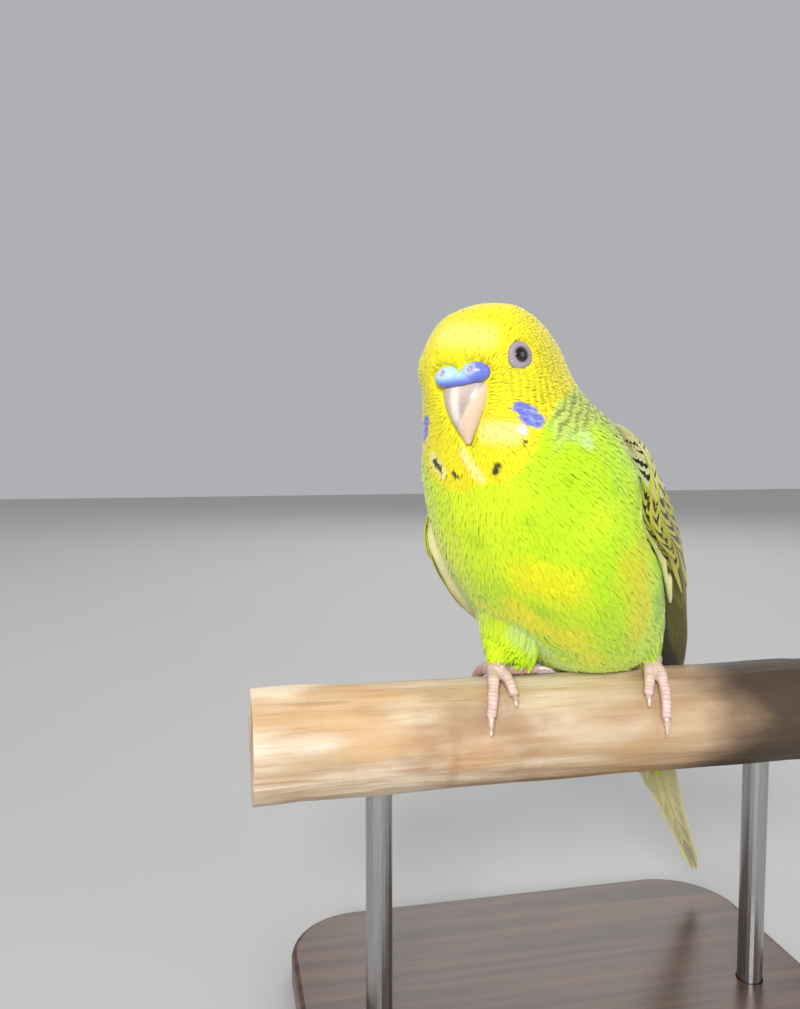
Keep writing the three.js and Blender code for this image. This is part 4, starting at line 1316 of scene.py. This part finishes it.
def foot_lines(foot):
    """Paths and radii of a foot: four toes with their joints, then the shank above the sole."""
    sole, knee = np.array(foot["sole"]), np.array(foot["knee"])
    share = np.linspace(0, 1, 9)
    plain = 1.5 - 0.4 * share
    radii = plain * (1 + 0.09 * np.cos(2 * np.pi * share * 3))
    lines = []
    for start, end, tip in foot["toes"]:
        step = np.linalg.norm(over_branch(*end, 0) - over_branch(*tip, 0))
        end = np.array(end, float) + np.subtract(tip, end, dtype=float) * 1.3 / step
        path = [over_branch(*between(start, end, s), min(r, p)) for s, r, p in zip(share, radii, plain)]
        lines.append((np.array([sole, *path]), np.array([1.5, *radii])))
    top = sole + (knee - sole) * 0.6
    lines.append((np.array([top, (top + sole) / 2, sole]), np.array([1.8, 1.75, 1.9])))
    return lines


def along_lines(points, lines):
    """How far along the nearest path points lie, and their way off it."""
    best = np.full(len(points), 1e9)
    along, off = np.zeros(len(points)), np.zeros((len(points), 3))
    for path, _ in lines:
        start = 0.0
        for a, b in zip(path[:-1], path[1:]):
            share = np.clip((points - a) @ (b - a) / ((b - a) @ (b - a)), 0, 1)
            nearest = a + share[:, None] * (b - a)
            away = distance(points, nearest)
            closer = away < best
            best = np.where(closer, away, best)
            along = np.where(closer, start + share * np.linalg.norm(b - a), along)
            off = np.where(closer[:, None], points - nearest, off)
            start += np.linalg.norm(b - a)
    return along, off


def build_foot(word):
    lines = foot_lines(FEET[word])
    pieces = [limb(f"foot_part_{i}", path, radii) for i, (path, radii) in enumerate(lines)]
    bpy.ops.object.select_all(action="DESELECT")
    bpy.ops.mesh.primitive_uv_sphere_add(
        segments=24, ring_count=16, radius=2.2 * MM, location=(FEET[word]["sole"] + AXIS) * MM, scale=(1, 1, 0.75)
    )
    bpy.ops.object.transform_apply(location=True, rotation=True, scale=True)
    pieces.append(bpy.context.object)
    for piece in pieces:
        piece.select_set(True)
    bpy.context.view_layer.objects.active = pieces[0]
    bpy.ops.object.join()
    piece = bpy.context.object
    piece.name = f"foot_{word}_skin"
    modify(piece, "REMESH", mode="VOXEL", voxel_size=0.28 * MM)
    modify(piece, "SMOOTH", factor=0.5, iterations=5)

    # Scutes run across the upper side of each toe, and fine granules cover the rest.
    points = point_values(piece) / MM - AXIS
    along, off = along_lines(points, lines)
    outward = unit(points * (0, 1, 1))
    upper = smooth(0.1, 0.7, np.sum(unit(off) * outward, 1))
    scute = np.abs(np.sin(np.pi * along / 0.95)) ** 0.5
    move_points(piece, (points + unit(off) * (0.11 * (scute - 0.8) * upper)[:, None] + AXIS) * MM)
    shade_smooth(piece)
    # Painted shade: the toes are darker underneath and in the grooves between the scutes.
    colours = blended(FOOT_PINK, FOOT_SHADE, 1 - scute * upper)
    paint_points(piece, colours * (0.85 + 0.25 * ripple(points, 0.9)[:, None]))
    scales = marked_material(
        f"foot_{word}_scales", 0.5, 2600, 0.5, 0.0001, 0.14, Subsurface_Weight=0.1, Subsurface_Scale=0.001
    )
    finish(piece, scales, "foot_skin", f"foot_{word}")


def build_claws():
    nodes = [f"claw_{word}_{i}" for word in FEET for i in range(1, 5)]
    piece = copy_of("claws_horn", *nodes)
    modify(piece, "DISPLACE", strength=0.1 * MM, mid_level=0)
    modify(piece, "SUBSURF", levels=2, render_levels=2)
    shade_smooth(piece)
    material, tree, shader = surface("claw_horn_grey", 0.3, Coat_Weight=0.3, Coat_Roughness=0.2)
    grain = object_noise(tree, 1400, detail=3)
    feed(mixed(ramp(grain, 0.3, 0.7), linear(176, 146, 134), linear(226, 204, 194)), shader.inputs["Base Color"])
    bumped(shader, grain, 0.2, 0.00005)
    finish(piece, material, "claw_horn", *nodes)


# Branch and stand.
def sawn_end():
    """Rings on the branch's end that is selected, the first a little raised."""
    bpy.ops.mesh.inset(thickness=0.7 * MM, depth=0.25 * MM)
    bpy.ops.mesh.inset(thickness=3.5 * MM)
    bpy.ops.mesh.inset(thickness=4 * MM)


def build_branch():
    steps_along, sides = 120, 72
    bpy.ops.object.select_all(action="DESELECT")
    start = Vector((-BRANCH_LENGTH / 2, BRANCH_BACK, BRANCH_HEIGHT)) * MM
    bpy.ops.mesh.primitive_circle_add(
        vertices=sides, radius=BRANCH_RADIUS * MM, fill_type="NGON", location=start, rotation=(0, math.pi / 2, 0)
    )
    piece = bpy.context.object
    piece.name = "branch_wood"
    bpy.ops.object.transform_apply(location=True, rotation=True, scale=True)
    bpy.ops.object.mode_set(mode="EDIT")
    bpy.ops.mesh.select_all(action="SELECT")
    step = BRANCH_LENGTH * MM / steps_along
    for _ in range(steps_along):
        bpy.ops.mesh.extrude_region_move(TRANSFORM_OT_translate={"value": (step, 0, 0)})
    sawn_end()
    bpy.ops.mesh.select_all(action="DESELECT")
    bpy.ops.mesh.select_mode(type="EDGE")
    bpy.ops.mesh.select_non_manifold()
    bpy.ops.mesh.edge_face_add()
    bpy.ops.mesh.select_mode(type="FACE")
    sawn_end()
    bpy.ops.mesh.select_all(action="SELECT")
    bpy.ops.mesh.normals_make_consistent(inside=False)
    bpy.ops.object.mode_set(mode="OBJECT")
    points = point_values(piece) / MM - AXIS
    along, across = points[:, 0], points[:, 1:]
    angle = np.arctan2(across[:, 0], across[:, 1])
    radius = np.linalg.norm(across, axis=1)
    away = np.clip(np.abs(along) - 32, 0, None) / 43
    knots = 0.5 + 0.5 * np.sin(along * 0.13 + 2 * angle) * np.cos(3 * angle - along * 0.05)
    grain = 0.10 * np.sin(angle * 17 + 0.05 * along + np.sin(along * 0.06) * 2)
    grain = grain + 0.07 * np.sin(angle * 31 - 0.08 * along)
    dents = -0.25 * smooth(0.62, 0.9, ripple(points, 0.22, 5)) * smooth(0, 0.4, away)
    share = np.clip(radius / BRANCH_RADIUS, 0, 1)
    swell = (0.9 * away * knots + (grain - 0.12) + dents) * smooth(0.6, 1.0, share)
    across = across * (1 + swell / np.maximum(radius, 1))[:, None]
    move_points(piece, (np.column_stack([along, across]) + AXIS) * MM)
    activate(piece)
    bpy.ops.object.shade_smooth_by_angle(angle=math.radians(45))
    finish(piece, branch_material(), "branch_wood", "perch")


# Noises of the wood: scale, stretch, detail and turn.
WOOD_NOISES = {
    "grain": (90, (0.3, 2.6, 2.6), 8, (0, 0, 0)),
    "fibres": (260, (0.22, 3.4, 3.4), 5, (0, 0, 0)),
    "patches": (46, (0.55, 1.1, 1.1), 7, (0.4, 0.1, 0.3)),
    "stains": (26, (0.6, 1.2, 1.2), 7, (0.7, 0.1, 0.2)),
    "rings": (70, (2.2, 0.5, 0.5), 6, (0.2, 0.1, 0.15)),
}
# Patches of the wood: noise, its low and high end, most share and colour.
WOOD_PATCHES = (
    ("patches", 0.46, 0.62, 0.75, linear(206, 164, 116)),
    ("rings", 0.56, 0.7, 0.4, linear(176, 134, 92)),
    ("stains", 0.55, 0.68, 0.75, linear(148, 106, 68)),
    ("fibres", 0.55, 0.75, 0.5, linear(158, 114, 74)),
    ("stains", 0.45, 0.32, 0.8, linear(244, 228, 200)),
    # The last two rows darken the branch from its middle to its +X end: partly brown bark, partly painted shadow.
    ("bark_and_shadow", -0.015, 0.015, 0.75, linear(170, 134, 96)),
    ("bark_and_shadow", 0.012, 0.04, 0.94, linear(46, 32, 20)),
)


def branch_material():
    """Peeled wood: cream, with tan and brown patches and short grain, darker from the middle to one end, with brown
    bark and a painted shadow there.
    """
    material, tree, shader = surface("peeled_branch_and_shadow", 0.7)
    noises = {key: object_noise(tree, *values) for key, values in WOOD_NOISES.items()}
    grain, fibres, patches = noises["grain"], noises["fibres"], noises["patches"]
    along = parts_of(object_place(tree))["X"]
    # How far along towards the end of bark and painted shadow, made ragged by the stains.
    noises["bark_and_shadow"] = plus(along, times(minus(noises["stains"], 0.5), 0.09))
    colour = mixed(ramp(grain, 0.38, 0.66), linear(224, 208, 184), linear(192, 164, 130))
    for key, low, high, most, shade in WOOD_PATCHES:
        colour = mixed(times(ramp(noises[key], low, high), most), colour, shade)
    feed(colour, shader.inputs["Base Color"])
    bumped(shader, plus(times(fibres, 0.6), plus(grain, patches)), 0.7, 0.0006)
    feed(calculated("MULTIPLY_ADD", patches, 0.3, 0.45), shader.inputs["Roughness"])
    return material


def finish_stand():
    material, tree, shader = surface("walnut_satin", 0.35, Coat_Weight=0.2, Coat_Roughness=0.25)
    grain = object_noise(tree, 50, stretch=(0.25, 5, 5), detail=6)
    pores = object_noise(tree, 160, stretch=(0.2, 9, 9), detail=3)
    colour = mixed(ramp(grain, 0.35, 0.65), linear(92, 60, 40), linear(58, 36, 24))
    colour = mixed(times(ramp(pores, 0.6, 0.72), 0.6), colour, linear(36, 22, 15))
    feed(colour, shader.inputs["Base Color"])
    bumped(shader, pores, 0.15, 0.0002)
    carry("stand_base", material)
    material, tree, shader = surface("brushed_rod", 0.32, Metallic=1.0)
    brushed = object_noise(tree, 400, stretch=(10, 10, 0.4), detail=3)
    feed(mixed(brushed, linear(150, 150, 150), linear(196, 196, 196)), shader.inputs["Base Color"])
    feed(plus(times(brushed, 0.2), 0.22), shader.inputs["Roughness"])
    bumped(shader, brushed, 0.1, 0.00005)
    carry("stand_rod_left", material)
    carry("stand_rod_right", material)


def carry(node, material):
    """A rigid solid that stays in view with its own finish."""
    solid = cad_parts[node]
    solid.data.materials.clear()
    solid.data.materials.append(material)
    activate(solid)
    bpy.ops.object.shade_smooth_by_angle(angle=math.radians(35))


# Lights: place in metres, side of the square in metres and power in watts.
LIGHTS = {
    "key": ((-0.5, -1.1, 0.66), 0.4, 17.0),
    "fill": ((0.95, -0.85, 0.55), 0.8, 3.5),
    "rim": ((0.35, 0.95, 0.85), 0.8, 4.5),
}
CAMERA_AT = (-82.6 * MM, -196.0 * MM, 142.4 * MM)
CAMERA_WAY = (0.208, 0.978)
CAMERA_DOWN = math.radians(4.3)


def build_stage():
    bpy.ops.object.select_all(action="DESELECT")
    bpy.ops.mesh.primitive_plane_add(size=4, location=(0, 0, 0))
    floor = bpy.context.object
    floor.name = "studio_floor"
    material, tree, shader = surface("pale_floor", 0.7)
    soft = object_noise(tree, 6, detail=2)
    feed(mixed(soft, (0.52, 0.515, 0.505), (0.55, 0.545, 0.535)), shader.inputs["Base Color"])
    floor.data.materials.append(material)
    world = bpy.data.worlds.new("studio")
    world.use_nodes = True
    background = world.node_tree.nodes["Background"]
    background.inputs["Color"].default_value = (0.86, 0.87, 0.9, 1)
    background.inputs["Strength"].default_value = 0.5
    bpy.context.scene.world = world
    target = Vector((0.0, -0.006, 0.115))
    for name, (place, size, power) in LIGHTS.items():
        bpy.ops.object.light_add(type="AREA", location=place)
        light = bpy.context.object
        light.name = f"{name}_light"
        light.data.size = size
        light.data.energy = power
        light.rotation_euler = (target - Vector(place)).to_track_quat("-Z", "Y").to_euler()
    bpy.ops.object.camera_add(location=CAMERA_AT)
    camera = bpy.context.object
    camera.name = "photo_view"
    level = math.cos(CAMERA_DOWN)
    ahead = Vector((CAMERA_WAY[0] * level, CAMERA_WAY[1] * level, -math.sin(CAMERA_DOWN)))
    camera.rotation_euler = ahead.to_track_quat("-Z", "Y").to_euler()
    camera.data.lens = 31.75
    camera.data.sensor_width = 36
    camera.data.clip_start = 0.01
    scene = bpy.context.scene
    scene.camera = camera
    scene.view_settings.view_transform = "Standard"


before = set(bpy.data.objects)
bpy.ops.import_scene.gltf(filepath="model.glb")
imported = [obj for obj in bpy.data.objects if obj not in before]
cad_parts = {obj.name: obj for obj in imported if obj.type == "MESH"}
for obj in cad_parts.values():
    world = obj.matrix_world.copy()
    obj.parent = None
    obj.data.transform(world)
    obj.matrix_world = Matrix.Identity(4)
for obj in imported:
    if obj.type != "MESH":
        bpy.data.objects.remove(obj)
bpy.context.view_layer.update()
BARBS = barb_group()
CENTRES = centre_group()
skin = body_skin()
coat(skin)
for side, word in ((1, "left"), (-1, "right")):
    build_wing(side, word)
    build_eye(side, word)
    build_foot(word)
build_tail()
build_cere()
build_bill()
build_claws()
build_branch()
finish_stand()
build_stage()
